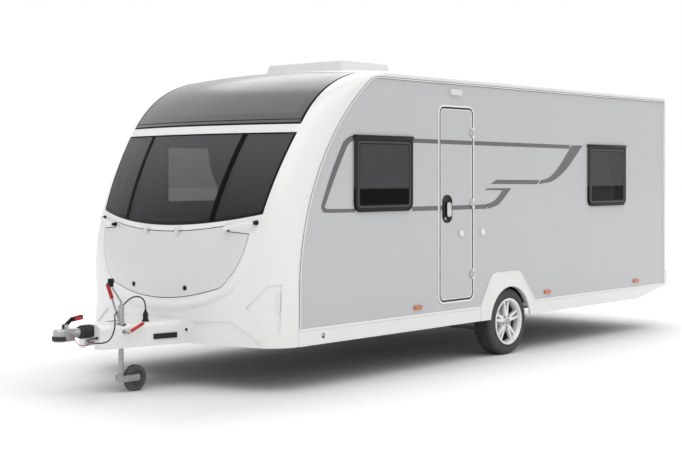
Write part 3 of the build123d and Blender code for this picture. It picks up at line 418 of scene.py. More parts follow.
@dataclass(frozen=True)
class WheelAlloy(Finish):
    """Silver cast wheel; what lies inboard of its spokes is dark: the iron of the drum, and painted shade on the
    inside of the barrel.
    """

    spoke_plane: float = 1.036

    def shade(self, graph: ShaderGraph) -> None:
        """Lay the silver coat and, behind it, the dark drum and the painted shade inside the barrel.

        Args:
            graph: Node tree to fill.
        """
        # Inboard of the spoke plane the colour turns dark grey: the drum's iron, and painted shade on the inside of
        # the barrel.
        depth = graph.calc("ABSOLUTE", graph.axis("Y"))
        inboard = graph.span(depth, (self.spoke_plane - 0.012, self.spoke_plane), (1.0, 0.0))
        graph.feed("Base Color", graph.mix(inboard, graph.tone(self.colour, 0.04, 12.0), DRUM_AND_SHADE_GREY))
        worn = graph.levels(graph.noise(40.0), self.roughness - 0.05, self.roughness + 0.08)
        graph.feed("Roughness", graph.calc("ADD", worn, graph.calc("MULTIPLY", inboard, 0.3)))
        graph.feed("Metallic", graph.span(inboard, (0.0, 1.0), (0.12, 0.3)))
        graph.set(Coat_Weight=0.3, Coat_Roughness=0.1)
        graph.bump(graph.noise(260.0, 2.0), 0.08, 0.0006)


@dataclass(frozen=True)
class BlackRubber(Finish):
    """Matt rubber with grey road dust."""

    dust: float = 0.35

    def shade(self, graph: ShaderGraph) -> None:
        """Lay the rubber and the dust.

        Args:
            graph: Node tree to fill.
        """
        film = graph.levels(graph.noise(16.0, 6.0), 0.0, self.dust)
        graph.feed("Base Color", graph.mix(film, graph.tone(self.colour, 0.1, 30.0), TYRE_DUST))
        graph.gloss(graph.noise(45.0), self.roughness, 0.06, 0.1)
        graph.bump(graph.noise(420.0, 3.0), 0.16, 0.0006)


@dataclass(frozen=True)
class PrismLens(Finish):
    """Coloured lamp lens with moulded ribs under a clear face."""

    ribs: float = 42.0

    def shade(self, graph: ShaderGraph) -> None:
        """Lay the colour with a painted highlight on the rib crests, the crossing ribs and the clear face.

        Args:
            graph: Node tree to fill.
        """
        ribs_and_highlight = graph.calc("MULTIPLY", graph.bands(self.ribs, "X"), graph.bands(self.ribs, "Z"))
        # The rib crests take a paler colour: a painted highlight.
        graph.feed("Base Color", graph.mix(ribs_and_highlight, self.colour, scaled(self.colour, 1.5, 0.02)))
        graph.gloss(graph.noise(18.0), self.roughness, 0.0, 0.08)
        graph.set(Coat_Weight=0.6, Coat_Roughness=0.04, IOR=1.49)
        graph.bump(ribs_and_highlight, 0.3, 0.0012)


@dataclass(frozen=True)
class WovenCloth(Finish):
    """Plain-weave cloth with thick and thin yarns."""

    yarns: float = 260.0

    def shade(self, graph: ShaderGraph) -> None:
        """Lay warp, weft and slubs.

        Args:
            graph: Node tree to fill.
        """
        weave = graph.calc("MULTIPLY", graph.bands(self.yarns, "X", 0.4), graph.bands(self.yarns, "Z", 0.4))
        slub = graph.noise(60.0, 4.0, graph.stretched((1.0, 1.0, 0.1)))
        cloth = graph.mix(weave, scaled(self.colour, 0.72), self.colour)
        graph.feed("Base Color", graph.mix(graph.levels(slub, 0.0, 0.3), cloth, scaled(self.colour, 0.85)))
        graph.gloss(slub, self.roughness, 0.06, 0.06)
        graph.set(Sheen_Weight=0.25)
        graph.bump(weave, 0.3, 0.0007)


@dataclass(frozen=True)
class GrainedBoard(Finish):
    """Wood-grain board with growth rings and pores along one direction."""

    along: Point = (0.35, 6.0, 6.0)
    sealed_below: float = -1.0

    def shade(self, graph: ShaderGraph) -> None:
        """Lay the rings, the pores, the lacquer and the black seal under the board.

        Args:
            graph: Node tree to fill.
        """
        line = graph.stretched(self.along)
        pores = graph.noise(70.0, 6.0, line)
        wood = graph.mix(graph.bands(1.6, "Z", 6.0, line), scaled(self.colour, 0.6), self.colour)
        board = graph.mix(graph.levels(pores, 0.0, 0.35), wood, scaled(self.colour, 0.5))
        under = graph.span(graph.axis("Z"), (self.sealed_below, self.sealed_below + 0.001), (1.0, 0.0))
        graph.feed("Base Color", graph.mix(under, board, BOARD_SEAL))
        graph.gloss(pores, self.roughness, 0.05, 0.1)
        graph.set(Coat_Weight=0.2, Coat_Roughness=0.2)
        graph.bump(pores, 0.1, 0.0005)


@dataclass(frozen=True)
class StudioPaper(Finish):
    """Seamless white backdrop that keeps the shadow and looks white to the camera."""

    lift: Flat = (0.0, 0.45)
    footprint: Flat = (3.5, 1.2)
    fade: Flat = (0.0, 2.2)

    def shade(self, graph: ShaderGraph) -> None:
        """Lay the paper and, away from the object, the light that only the eye and mirrors see.

        Args:
            graph: Node tree to fill.
        """
        graph.feed("Base Color", graph.tone(self.colour, 0.01, 0.6))
        graph.set(Roughness=self.roughness, Specular_IOR_Level=0.1, Emission_Color=(1.0, 1.0, 1.0, 1.0))
        gaps = [
            graph.calc("SUBTRACT", graph.calc("ABSOLUTE", graph.axis(axis)), half)
            for axis, half in zip("XY", self.footprint)
        ]
        lift = graph.span(graph.calc("MAXIMUM", *gaps), self.fade, self.lift)
        graph.feed("Emission Strength", graph.calc("MULTIPLY", graph.seen(), lift))


WALL_SILVER = BodyPaint("wall_silver", srgb(190, 191, 193), 0.38, flake=0.1)
SHELL_WHITE = BodyPaint("shell_white", srgb(240, 240, 239), 0.3)
LID_GREY = BodyPaint("lid_grey", srgb(220, 220, 221), 0.32, flake=0.05)
FRAME_WHITE = MouldedPlastic("frame_white", srgb(236, 236, 235), 0.4, 500.0)
ROOF_WHITE = StuccoSheet("roof_white", srgb(228, 228, 226), 0.42)
# The upper colours of the side and front panes are painted reflection, paler towards the head of each pane.
WINDOW_TINT = TintedPane(
    "window_tint", srgb(7, 7, 8), 0.04, 0.12, srgb(80, 80, 83), (1.500, 1.520), 1.12, (0.7, 0.0, 0.72)
)
FRONT_TINT = TintedPane("front_tint", srgb(54, 55, 57), 0.04, 0.34, srgb(96, 97, 100), (1.30, 1.98), 1.3)
REAR_TINT = TintedPane("rear_tint", srgb(40, 41, 43), 0.05, 0.8)
ROOF_TINT = TintedPane("roof_tint", srgb(112, 113, 116), 0.2, clear=0.08)
SUNROOF_GREY = BodyPaint("sunroof_grey", srgb(80, 80, 82), 0.42, dust=0.0)
TRIM_BLACK = MouldedPlastic("trim_black", srgb(16, 16, 17), 0.4, shine=0.2, bloom=0.05)
PLAIN_BLACK = MouldedPlastic("fittings_black", srgb(30, 30, 31), 0.5, 480.0, shine=0.3, bloom=0.08)
WELL_BLACK = MouldedPlastic("wheel_well_black", srgb(20, 20, 20), 0.85, 240.0, shine=0.1, bloom=0.05)
LINE_BLACK = MouldedPlastic("glazing_line", srgb(6, 6, 6), 0.6, shine=0.08, bloom=0.02)
STRIPE_GREY = BodyPaint("stripe_grey", srgb(90, 90, 94), 0.4, dust=0.0)
# Grey of the ring inside each window border: a painted highlight on the edge of the pane's inner step.
PANE_EDGE_HIGHLIGHT = MouldedPlastic("pane_bead", srgb(74, 74, 76), 0.35, shine=0.4, bloom=0.05)
RED_GRIP = MouldedPlastic("red_grip", srgb(176, 24, 28), 0.38)
RED_LENS = PrismLens("red_lens_rib", srgb(150, 10, 14), 0.12)
AMBER_LENS = PrismLens("amber_lens_rib", srgb(184, 94, 28), 0.16)
CLEAR_LENS = PrismLens("clear_lens_rib", srgb(222, 223, 224), 0.1)
OPAL_DOME = TintedPane("opal_dome", srgb(236, 236, 236), 0.3, clear=0.06)
ZINC = ZincCoat("zinc_dip", srgb(178, 180, 182), 0.42)
CAST_ZINC = ZincCoat("zinc_cast", srgb(192, 194, 196), 0.44, 160.0)
ALLOY = WheelAlloy("wheel_silver", srgb(240, 240, 240), 0.28)
BRIGHT_RAIL = ZincCoat("bright_rail_satin", srgb(218, 219, 220), 0.3, 400.0)
TYRE_RUBBER = BlackRubber("tyre_rubber", srgb(60, 60, 61), 0.76)
SOFT_RUBBER = BlackRubber("bellows_rubber", srgb(22, 22, 23), 0.6, 0.2)
LEAD_SHEATH = BlackRubber("lead_sheath", srgb(24, 24, 25), 0.5, 0.15)
JOCKEY_GREY = BlackRubber("jockey_tread_grey", srgb(80, 80, 82), 0.7, 0.1)
# Grey of the rail grooves: painted shade laid as flat decals.
RAIL_GROOVE_SHADE = MouldedPlastic("rail_groove", srgb(128, 128, 130), 0.5, shine=0.3, bloom=0.05)
RED_WIRE = MouldedPlastic("red_wire", srgb(168, 30, 26), 0.45)
FLOOR_VINYL = GrainedBoard("floor_vinyl", srgb(140, 112, 84), 0.45, sealed_below=0.479)
CABINET = GrainedBoard("cabinet_veneer", srgb(176, 128, 84), 0.4)
LINER = StuccoSheet("liner_board_pale", srgb(205, 202, 194), 0.6)
SEAT_CLOTH = WovenCloth("seat_cloth", srgb(112, 108, 118), 0.85)
CURTAIN_CLOTH = WovenCloth("curtain_weave", srgb(206, 205, 202), 0.88, 340.0)
STUDIO_PAPER = StudioPaper("studio_paper", srgb(242, 242, 242), 0.9)

NODE_FINISHES: dict[Finish, tuple[str, ...]] = {
    WALL_SILVER: ("side_wall_left", "side_wall_right", "entrance_door", "service_hatch"),
    SHELL_WHITE: ("front_bumper", "front_surround", "skirts", "wheel_spats", "a_frame_fairing", "rear_panel"),
    LID_GREY: ("gas_locker_lid",),
    FRAME_WHITE: ("door_frame", "hatch_frame", "wall_fittings", "grab_handles", "awning_rails"),
    ROOF_WHITE: ("roof_panel",),
    WINDOW_TINT: ("side_windows",),
    REAR_TINT: ("rear_window",),
    FRONT_TINT: ("front_windows",),
    ROOF_TINT: ("sunroof_glass",),
    SUNROOF_GREY: ("sunroof_frame",),
    TRIM_BLACK: ("front_window_trim", "door_fittings", "coupling_lever"),
    PLAIN_BLACK: ("fairing_fittings", "lead_plug"),
    RED_LENS: ("rear_lamps",),
    AMBER_LENS: ("marker_lamps",),
    OPAL_DOME: ("roof_lights", "awning_lamp"),
    ZINC: (
        "chassis_members", "drawbar_legs", "cross_members", "axle_beam", "steady_front_left", "steady_front_right",
        "steady_rear_left", "steady_rear_right", "jockey_tube", "jockey_stem", "jockey_fork", "handbrake_lever",
    ),
    CAST_ZINC: ("coupling_head", "overrun_housing"),
    CLEAR_LENS: ("front_markers",),
    WELL_BLACK: ("wheel_boxes",),
    ALLOY: ("left_rim", "right_rim"),
    TYRE_RUBBER: ("left_tyre", "right_tyre"),
    SOFT_RUBBER: ("coupling_rubbers",),
    JOCKEY_GREY: ("jockey_wheel",),
    LEAD_SHEATH: ("plug_lead",),
    RED_WIRE: ("breakaway_cable",),
    FLOOR_VINYL: ("floor_panel",),
    CABINET: ("furniture",),
    LINER: ("gas_locker_liner",),
    SEAT_CLOTH: ("cushions",),
    CURTAIN_CLOTH: ("curtains",),
}


def added(name: str, data: bpy.types.ID, finish: Finish | None = None) -> Thing:
    """Put an object into the scene.

    Args:
        name: Its name.
        data: Its mesh, curve, lamp or camera.
        finish: Its finish, or None for a lamp or a camera.

    Returns:
        The new object.
    """
    if finish:
        data.materials.append(finish.material())
    made = bpy.data.objects.new(name, data)
    bpy.context.scene.collection.objects.link(made)
    return made


class Shape:
    """Growing mesh of one added piece."""

    def __init__(self) -> None:
        """Start with no points."""
        self.points: list[Vector] = []
        self.faces: list[tuple[int, ...]] = []

    def loop(self, points: Iterable[Sequence[float]]) -> list[int]:
        """Add points.

        Args:
            points: The points.

        Returns:
            Their numbers.
        """
        start = len(self.points)
        self.points += [Vector(p) for p in points]
        return list(range(start, len(self.points)))

    def bridge(self, first: Sequence[int], second: Sequence[int], closed: bool = True) -> None:
        """Join two rows of points with quads.

        Args:
            first: Numbers of one row.
            second: Numbers of the other row, as many.
            closed: Whether the last point meets the first.
        """
        count = len(first)
        for k in range(count if closed else count - 1):
            j = (k + 1) % count
            self.faces.append((first[k], first[j], second[j], second[k]))

    def skin(
        self, rows: Iterable[Iterable[Sequence[float]]], ends: Ends = Ends.CAPPED, closed: bool = True
    ) -> Shape:
        """Join rows of points, each with as many, into a surface.

        Args:
            rows: The rows.
            ends: What becomes of the first and the last row.
            closed: Whether each row is a loop.

        Returns:
            The shape itself.
        """
        loops = [self.loop(row) for row in rows]
        after = loops[1:] + loops[:1] if ends is Ends.JOINED else loops[1:]
        for first, second in zip(loops, after):
            self.bridge(first, second, closed)
        if ends is Ends.CAPPED:
            self.faces += [tuple(reversed(loops[0])), tuple(loops[-1])]
        return self

    def lathe(self, profile: Line, origin: Sequence[float], axis: Sequence[float], count: int = 32) -> Shape:
        """Turn a profile about an axis.

        Args:
            profile: Pairs of radius and distance along the axis; the ends are closed.
            origin: Start of the axis.
            axis: Its direction.
            count: Points around.

        Returns:
            The shape itself.
        """
        along = Vector(axis).normalized()
        across = along.orthogonal().normalized()
        up = along.cross(across)
        return self.skin(
            [Vector(origin) + along * reach + radius * (math.cos(t) * across + math.sin(t) * up) for t in turns(count)]
            for radius, reach in profile
        )

    def mesh(self, name: str) -> bpy.types.Mesh:
        """Make a mesh of the points and faces as they stand.

        Args:
            name: Name of the mesh.

        Returns:
            The mesh.
        """
        mesh = bpy.data.meshes.new(name)
        mesh.from_pydata([tuple(p) for p in self.points], [], self.faces)
        return mesh

    def piece(
        self, name: str, finish: Finish, body: Body, smooth: bool = True, node: str | None = None,
        slot: str | None = None,
    ) -> Thing:
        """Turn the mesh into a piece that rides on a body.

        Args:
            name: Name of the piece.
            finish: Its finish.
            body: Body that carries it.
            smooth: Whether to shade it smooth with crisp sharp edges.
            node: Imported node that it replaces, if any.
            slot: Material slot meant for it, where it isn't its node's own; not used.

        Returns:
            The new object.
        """
        mesh = self.mesh(name)
        work = bmesh.new()
        work.from_mesh(mesh)
        bmesh.ops.recalc_face_normals(work, faces=work.faces)
        work.to_mesh(mesh)
        work.free()
        if smooth:
            mesh.shade_smooth()
            mesh.set_sharp_from_angle(angle=math.radians(32))
        made = added(name, mesh, finish)
        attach(made, body.value)
        if node:
            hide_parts(node)
        return made


def rounded(low: Flat, high: Flat, radii: Sequence[float], steps: int = 8) -> list[Flat]:
    """Outline of a rectangle with round corners.

    Args:
        low: Lower left corner.
        high: Upper right corner.
        radii: Corner radii from the lower left one anticlockwise.
        steps: Points on each corner.

    Returns:
        The outline, anticlockwise.
    """
    corners = (low, (high[0], low[1]), high, (low[0], high[1]))
    outline = []
    for k, ((x, z), radius) in enumerate(zip(corners, radii)):
        middle = (x + radius * (1 if k in (0, 3) else -1), z + radius * (1 if k < 2 else -1))
        for step in range(steps + 1):
            angle = math.pi * (1 + k / 2) + math.pi / 2 * step / steps
            outline.append((middle[0] + radius * math.cos(angle), middle[1] + radius * math.sin(angle)))
    return outline


def shrink(outline: Line, amount: float) -> list[Flat]:
    """Move an anticlockwise outline inwards along its corner normals.

    Args:
        outline: Closed outline.
        amount: Distance to move.

    Returns:
        The smaller outline.
    """
    moved = []
    for k, here in enumerate(outline):
        run = (Vector(outline[(k + 1) % len(outline)]) - Vector(outline[k - 1])).normalized()
        moved.append((here[0] - run.y * amount, here[1] + run.x * amount))
    return moved


def smooth_line(points: Line, steps: int = 6) -> list[Flat]:
    """Catmull-Rom line through points.

    Args:
        points: Points that the line passes.
        steps: Pieces between two of them.

    Returns:
        The finer line.
    """
    line = []
    padded = [points[0], *points, points[-1]]
    for corners in zip(padded, padded[1:], padded[2:], padded[3:]):
        for t in (step / steps for step in range(steps)):
            line.append(tuple(
                0.5 * (2 * q + (r - p) * t + (2 * p - 5 * q + 4 * r - s) * t**2 + (3 * q - p - 3 * r + s) * t**3)
                for p, q, r, s in zip(*corners)
            ))
    return [*line, tuple(points[-1])]


def eased(corners: Sequence[Point], steps: int = 10) -> list[Flat]:
    """Open line with rounded corners.

    Args:
        corners: First coordinate, second coordinate and radius of each corner; the end ones have no radius.
        steps: Pieces on each rounded corner.

    Returns:
        The finer line.
    """
    line = [corners[0][:2]]
    for before, (*here, radius), after in zip(corners, corners[1:], corners[2:]):
        spot = Vector(here)
        back, ahead = ((Vector(other[:2]) - spot).normalized() for other in (before, after))
        half = back.angle(ahead) / 2
        reach = radius / math.tan(half)
        middle = spot + (back + ahead).normalized() * radius / math.sin(half)
        first, last = spot + back * reach - middle, spot + ahead * reach - middle
        line += [tuple(middle + first.slerp(last, step / steps) * radius) for step in range(steps + 1)]
    return [*line, corners[-1][:2]]


def spaced(line: Line, count: int) -> list[Flat]:
    """Points at equal distances along a line.

    Args:
        line: The line.
        count: How many points.

    Returns:
        The points, with both ends.
    """
    points = [Vector(p) for p in line]
    reach = [0.0]
    for a, b in zip(points, points[1:]):
        reach.append(reach[-1] + (b - a).length)
    made, k = [], 0
    for step in range(count):
        want = reach[-1] * step / (count - 1)
        while k < len(points) - 2 and reach[k + 1] < want:
            k += 1
        share = (want - reach[k]) / max(reach[k + 1] - reach[k], 1e-9)
        made.append(tuple(points[k].lerp(points[k + 1], min(share, 1.0))))
    return made


def relief(outline: Line, side: Side, base: float, levels: Line) -> Shape:
    """Closed form that rises from a side wall.

    Args:
        outline: Anticlockwise outline in X and Z.
        side: Wall that it lies on.
        base: Distance of its back from the middle plane.
        levels: Insets of the outline, each with its height above the back.

    Returns:
        The mesh.
    """
    return Shape().skin(
        [(x, side.value * (base + rise), z) for x, z in shrink(outline, inset)] for inset, rise in levels
    )


def bevelled(proud: float, bevel: float) -> Line:
    """Levels of a plate with a softened edge."""
    return (0.0, 0.0), (0.0, proud - bevel), (0.3 * bevel, proud - 0.3 * bevel), (bevel, proud)


def wall_ring(
    low: Flat, high: Flat, corners: Sequence[Sequence[float]], width: float, side: Side, base: float, proud: float
) -> Shape:
    """Frame with softened edges on a side wall.

    Args:
        low: Lower rear corner in X and Z.
        high: Upper front corner.
        corners: Corner radii of the outer and of the inner edge, from the lower rear one anticlockwise.
        width: Width of the frame.
        side: Wall that it lies on.
        base: Distance of its back from the middle plane.
        proud: Thickness.

    Returns:
        The mesh.
    """
    soft = proud * 0.6
    edge = ((0.0, 0.0), (0.0, proud - soft), (soft, proud))
    rows = []
    for inset, rise in (*edge, *((width - inset, rise) for inset, rise in reversed(edge))):
        radii = [a + (b - a) * inset / width for a, b in zip(*corners)]
        outline = rounded(grown(low, inset), grown(high, -inset), radii)
        rows.append([(x, side.value * (base + rise), z) for x, z in outline])
    return Shape().skin(rows, Ends.JOINED)


class Surface:
    """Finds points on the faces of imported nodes."""

    def __init__(self, nodes: Nodes, *names: str) -> None:
        """Read the meshes.

        Args:
            nodes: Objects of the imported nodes.
            *names: Nodes to read.
        """
        points: list[Vector] = []
        faces: list[tuple[int, ...]] = []
        for mesh in (nodes[name].data for name in names):
            start = len(points)
            points += [v.co.copy() for v in mesh.vertices]
            faces += [tuple(start + k for k in p.vertices) for p in mesh.polygons]
        self.tree = BVHTree.FromPolygons(points, faces)

    def meet(self, origin: Sequence[float], direction: Sequence[float]) -> tuple[Vector, Vector]:
        """First point of the surface along a ray.

        Args:
            origin: Start of the ray.
            direction: Direction of the ray.

        Returns:
            The point and the outward normal there.
        """
        point, normal, _, _ = self.tree.ray_cast(Vector(origin), Vector(direction).normalized())
        if point is None:
            raise ValueError(f"no surface from {origin} along {direction}")
        return point, normal if normal.dot(Vector(direction)) < 0 else -normal


def from_front(spot: Flat) -> tuple[Point, Point]:
    """Ray along the caravan towards a spot given as Y and Z."""
    return (at(7200), *spot), (-1.0, 0.0, 0.0)


def from_brow(spot: Flat) -> tuple[Point, Point]:
    """Ray onto the brow towards a spot given as Y and its share of the way from the rear to the foot."""
    x, z = at(4850) + 0.668 * spot[1], 2.42 - 0.415 * spot[1]
    return (x + 0.264, spot[0], z + 0.4245), (-0.528, 0.0, -0.849)


def decal(name: str, edges: Sequence[Line], side: Side, lift: float, finish: Finish, body: Body) -> None:
    """Lay a thin sheet on a side wall between two edges with as many points.

    Args:
        name: Name of the piece.
        edges: Stations and heights of both edges, in millimetres.
        side: Wall that it lies on.
        lift: Distance of its back from the middle plane.
        finish: Its finish.
        body: Body that carries it.
    """
    shape = Shape()
    back, face = (
        [shape.loop((at(x), side.value * depth, z / 1000) for x, z in edge) for edge in edges]
        for depth in (lift, lift + DECAL_THICK)
    )
    shape.bridge(*face, False)
    shape.bridge(*back, False)
    shape.bridge(back[0] + back[1][::-1], face[0] + face[1][::-1])
    shape.piece(f"{name}_{side.label}", finish, body, smooth=False)


def laid(
    skin: Surface, edges: Sequence[Line], across: Line, ray: Ray = from_front,
    fade: Callable[[float], float] = lambda share: 1.0,
) -> Shape:
    """Closed strip that follows a skin between two lines with as many points.

    Args:
        skin: Surface that it lies on.
        edges: Both lines.
        across: Section, as the share of the way to the second line and the height above the skin.
        ray: Ray that finds the skin at a spot of the lines.
        fade: Share of the heights along the line.

    Returns:
        The mesh.
    """
    shape = Shape()
    faces, backs = [], []
    for k, (start, end) in enumerate(zip(*edges)):
        ease = fade(k / (len(edges[0]) - 1))
        face, back = [], []
        for share, height in across:
            point, normal = skin.meet(*ray(tuple(a + (b - a) * share for a, b in zip(start, end))))
            face.append(point + normal * (height * ease if height > 0 else height))
            back.append(point - normal * STRIP_SUNK)
        faces.append(shape.loop(face))
        backs.append(shape.loop(back))
    rims = []
    for rows in (faces, backs):
        for first, second in zip(rows, rows[1:]):
            shape.bridge(first, second, False)
        rims.append([r[0] for r in rows] + rows[-1][1:] + [r[-1] for r in rows[-2::-1]] + rows[0][-2:0:-1])
    shape.bridge(*rims)
    return shape


@dataclass
class RailLines:
    """Painted shade of the grooves on both sides of the bead of one awning rail, laid as grey decals; lengths in
    millimetres.
    """

    side: Side
    front: float = 5703
    low: float = 478
    turn: Point = (3681, 750, 2022)
    corner: Point = (4750.6, 2125, 280)
    rear: float = 12
    face: float = HALF + 0.0062
    grooves: tuple[Flat, ...] = ((1.6, 7.4), (16.6, 22.6))

    def edge(self, inset: float) -> list[Flat]:
        """Line along the front and the top of the wall.

        Args:
            inset: Distance inside the wall's edge.

        Returns:
            Stations and heights from the foot of the front edge to the rear.
        """
        lean = math.atan2(self.corner[1] - self.turn[1], self.corner[0] - self.turn[0])
        line = [(self.front - inset, self.low)]
        arcs = (self.turn, [lean * k / 40 for k in range(41)]), (
            self.corner, [lean + (math.pi / 2 - lean) * k / 12 for k in range(1, 13)]
        )
        for (x, z, radius), angles in arcs:
            line += [(x + (radius - inset) * math.cos(a), z + (radius - inset) * math.sin(a)) for a in angles]
        return [*line, (self.rear, self.corner[1] + self.corner[2] - inset)]

    def dress(self) -> None:
        """Lay the painted shade of the grooves of the wall."""
        for k, groove in enumerate(self.grooves):
            edges = [self.edge(inset) for inset in groove]
            decal(f"rail_groove_{k}", edges, self.side, self.face, RAIL_GROOVE_SHADE, Body.SHELL)


@dataclass
class StripeSet:
    """Grey decals of a side wall; lengths are stations and heights in millimetres."""

    side: Side
    wall_lift: float = 0.0006
    leaf_lift: float = 0.0046
    loop: tuple[Line, Line] = (
        ((5058, 1924), (5124, 1916), (5189, 1881), (5221, 1838), (5327, 1654), (5432, 1431), (5452, 1376),
         (5436, 1345), (5390, 1329), (5058, 1326)),
        ((5058, 1886), (5102, 1877), (5146, 1846), (5167, 1818), (5285, 1619), (5390, 1417), (5411, 1379),
         (5394, 1362), (5359, 1357), (5058, 1354)),
    )
    curves: tuple[tuple[str, Line, Line], ...] = (
        ("tip", ((1669, 1904), (1915, 1708), (2079, 1611), (2240, 1554), (2455, 1533)),
         ((1871, 1901), (2014, 1769), (2144, 1663), (2272, 1594), (2405, 1569))),
        ("hook", ((3301, 1358), (3174, 1387), (3088, 1440), (3045, 1480)),
         ((3253, 1320), (3117, 1350), (3031, 1398), (2938, 1470))),
    )
    straights: tuple[tuple[str, Line, Line], ...] = (
        ("foot", ((2938, 1470), (2899, 1499), (3273, 1500)), ((3045, 1480), (3045, 1480), (3320, 1485))),
        ("bar", ((2479, 1532), (3230, 1537)), ((2430, 1570), (3131, 1574))),
    )
    levels: tuple[tuple[str, float, Flat, Flat], ...] = (
        ("top", 1905, (1916, 1904), (1881, 1868)), ("low", 3280, (1357, 1358), (1320, 1320)),
    )
    start: float = 4343
    door_breaks: tuple[float, ...] = (3996, 3960, 3515, 3479)

    def strip(self, name: str, edges: Sequence[Line], body: Body = Body.SHELL) -> None:
        """Lay one decal between two edges on the wall or on the door's leaf."""
        lift = HALF + (self.leaf_lift if body is Body.DOOR else self.wall_lift)
        decal(f"stripe_{name}", edges, self.side, lift, STRIPE_GREY, body)

    def curve(self, name: str, *edges: Line) -> None:
        """Lay one decal between two smooth lines."""
        self.strip(name, [smooth_line(edge) for edge in edges])

    def level(self, name: str, end: float, heights: tuple[Flat, Flat]) -> None:
        """Lay a level line, in pieces where the door crosses it.

        Args:
            name: Name of the line.
            end: Station of its rear end.
            heights: Heights of its upper and lower edge, each at the front and the rear end.
        """
        stops = [self.start, *(self.door_breaks if self.side is Side.LEFT else ()), end]
        for k, piece in enumerate(zip(stops[::2], stops[1::2])):
            edges = [
                [(x, high[0] + (high[1] - high[0]) * (x - self.start) / (end - self.start)) for x in piece]
                for high in heights
            ]
            self.strip(f"{name}_{k}", edges, Body.DOOR if k == 1 else Body.SHELL)

    def dress(self) -> None:
        """Lay all decals of the wall."""
        self.curve("loop", *self.loop)
        for name, end, *heights in self.levels:
            self.level(name, end, heights)
        for curve in self.curves:
            self.curve(*curve)
        for name, *edges in self.straights:
            self.strip(name, edges)


@dataclass(frozen=True)
class Window:
    """One side window, by its stations and heights in millimetres."""

    side: Side
    rear: float
    front: float
    sill: float
    head: float
    curtained: bool = True


WINDOWS = (
    Window(Side.LEFT, 4349, 5075, 1325, 1916),
    Window(Side.LEFT, 850, 1578, 1311, 1902),
    Window(Side.RIGHT, 4349, 5075, 1325, 1916),
    Window(Side.RIGHT, 2500, 3200, 1480, 1910, False),
    Window(Side.RIGHT, 850, 1578, 1311, 1902),
)


@dataclass
class SideGlazing:
    """Black borders, a grey ring of painted highlight, and hinge rails of the side windows."""

    pane_face: float = HALF + 0.016
    borders: tuple[tuple[str, float, float, float, Finish], ...] = (
        ("border", 0.0012, 0.034, 0.0022, TRIM_BLACK),
        # The grey bead ring is a painted highlight along the edge of the pane's inner step.
        ("bead", 0.0352, 0.010, 0.0016, PANE_EDGE_HIGHLIGHT),
        ("shade", 0.0452, 0.012, 0.0010, TRIM_BLACK),
    )
    outer_corners: tuple[float, ...] = (0.07, 0.07, 0.014, 0.014)
    inner_corners: tuple[float, ...] = (0.07, 0.07, 0.06, 0.06)
    rail_proud: float = 0.0224
    rail_past: float = 0.007
    rail_rise: Flat = (-0.008, 0.015)

    def dress(self) -> None:
        """Frame every side window."""
        for k, window in enumerate(WINDOWS):
            low, high = flat((window.rear, window.sill)), flat((window.front, window.head))
            for name, inset, width, proud, finish in self.borders:
                corners = (
                    [max(radius - inset, 0.008) for radius in self.outer_corners],
                    [max(radius - inset - width, 0.012) for radius in self.inner_corners],
                )
                ends = grown(low, inset), grown(high, -inset)
                ring = wall_ring(*ends, corners, width, window.side, self.pane_face, proud)
                ring.piece(f"window_{name}_{k}", finish, Body.SHELL)
            foot, head = (high[1] + rise for rise in self.rail_rise)
            rail = rounded((low[0] - self.rail_past, foot), (high[0] + self.rail_past, head), (0.006,) * 4, 3)
            plate = relief(rail, window.side, HALF, bevelled(self.rail_proud, 0.005))
            plate.piece(f"window_rail_{k}", TRIM_BLACK, Body.SHELL)


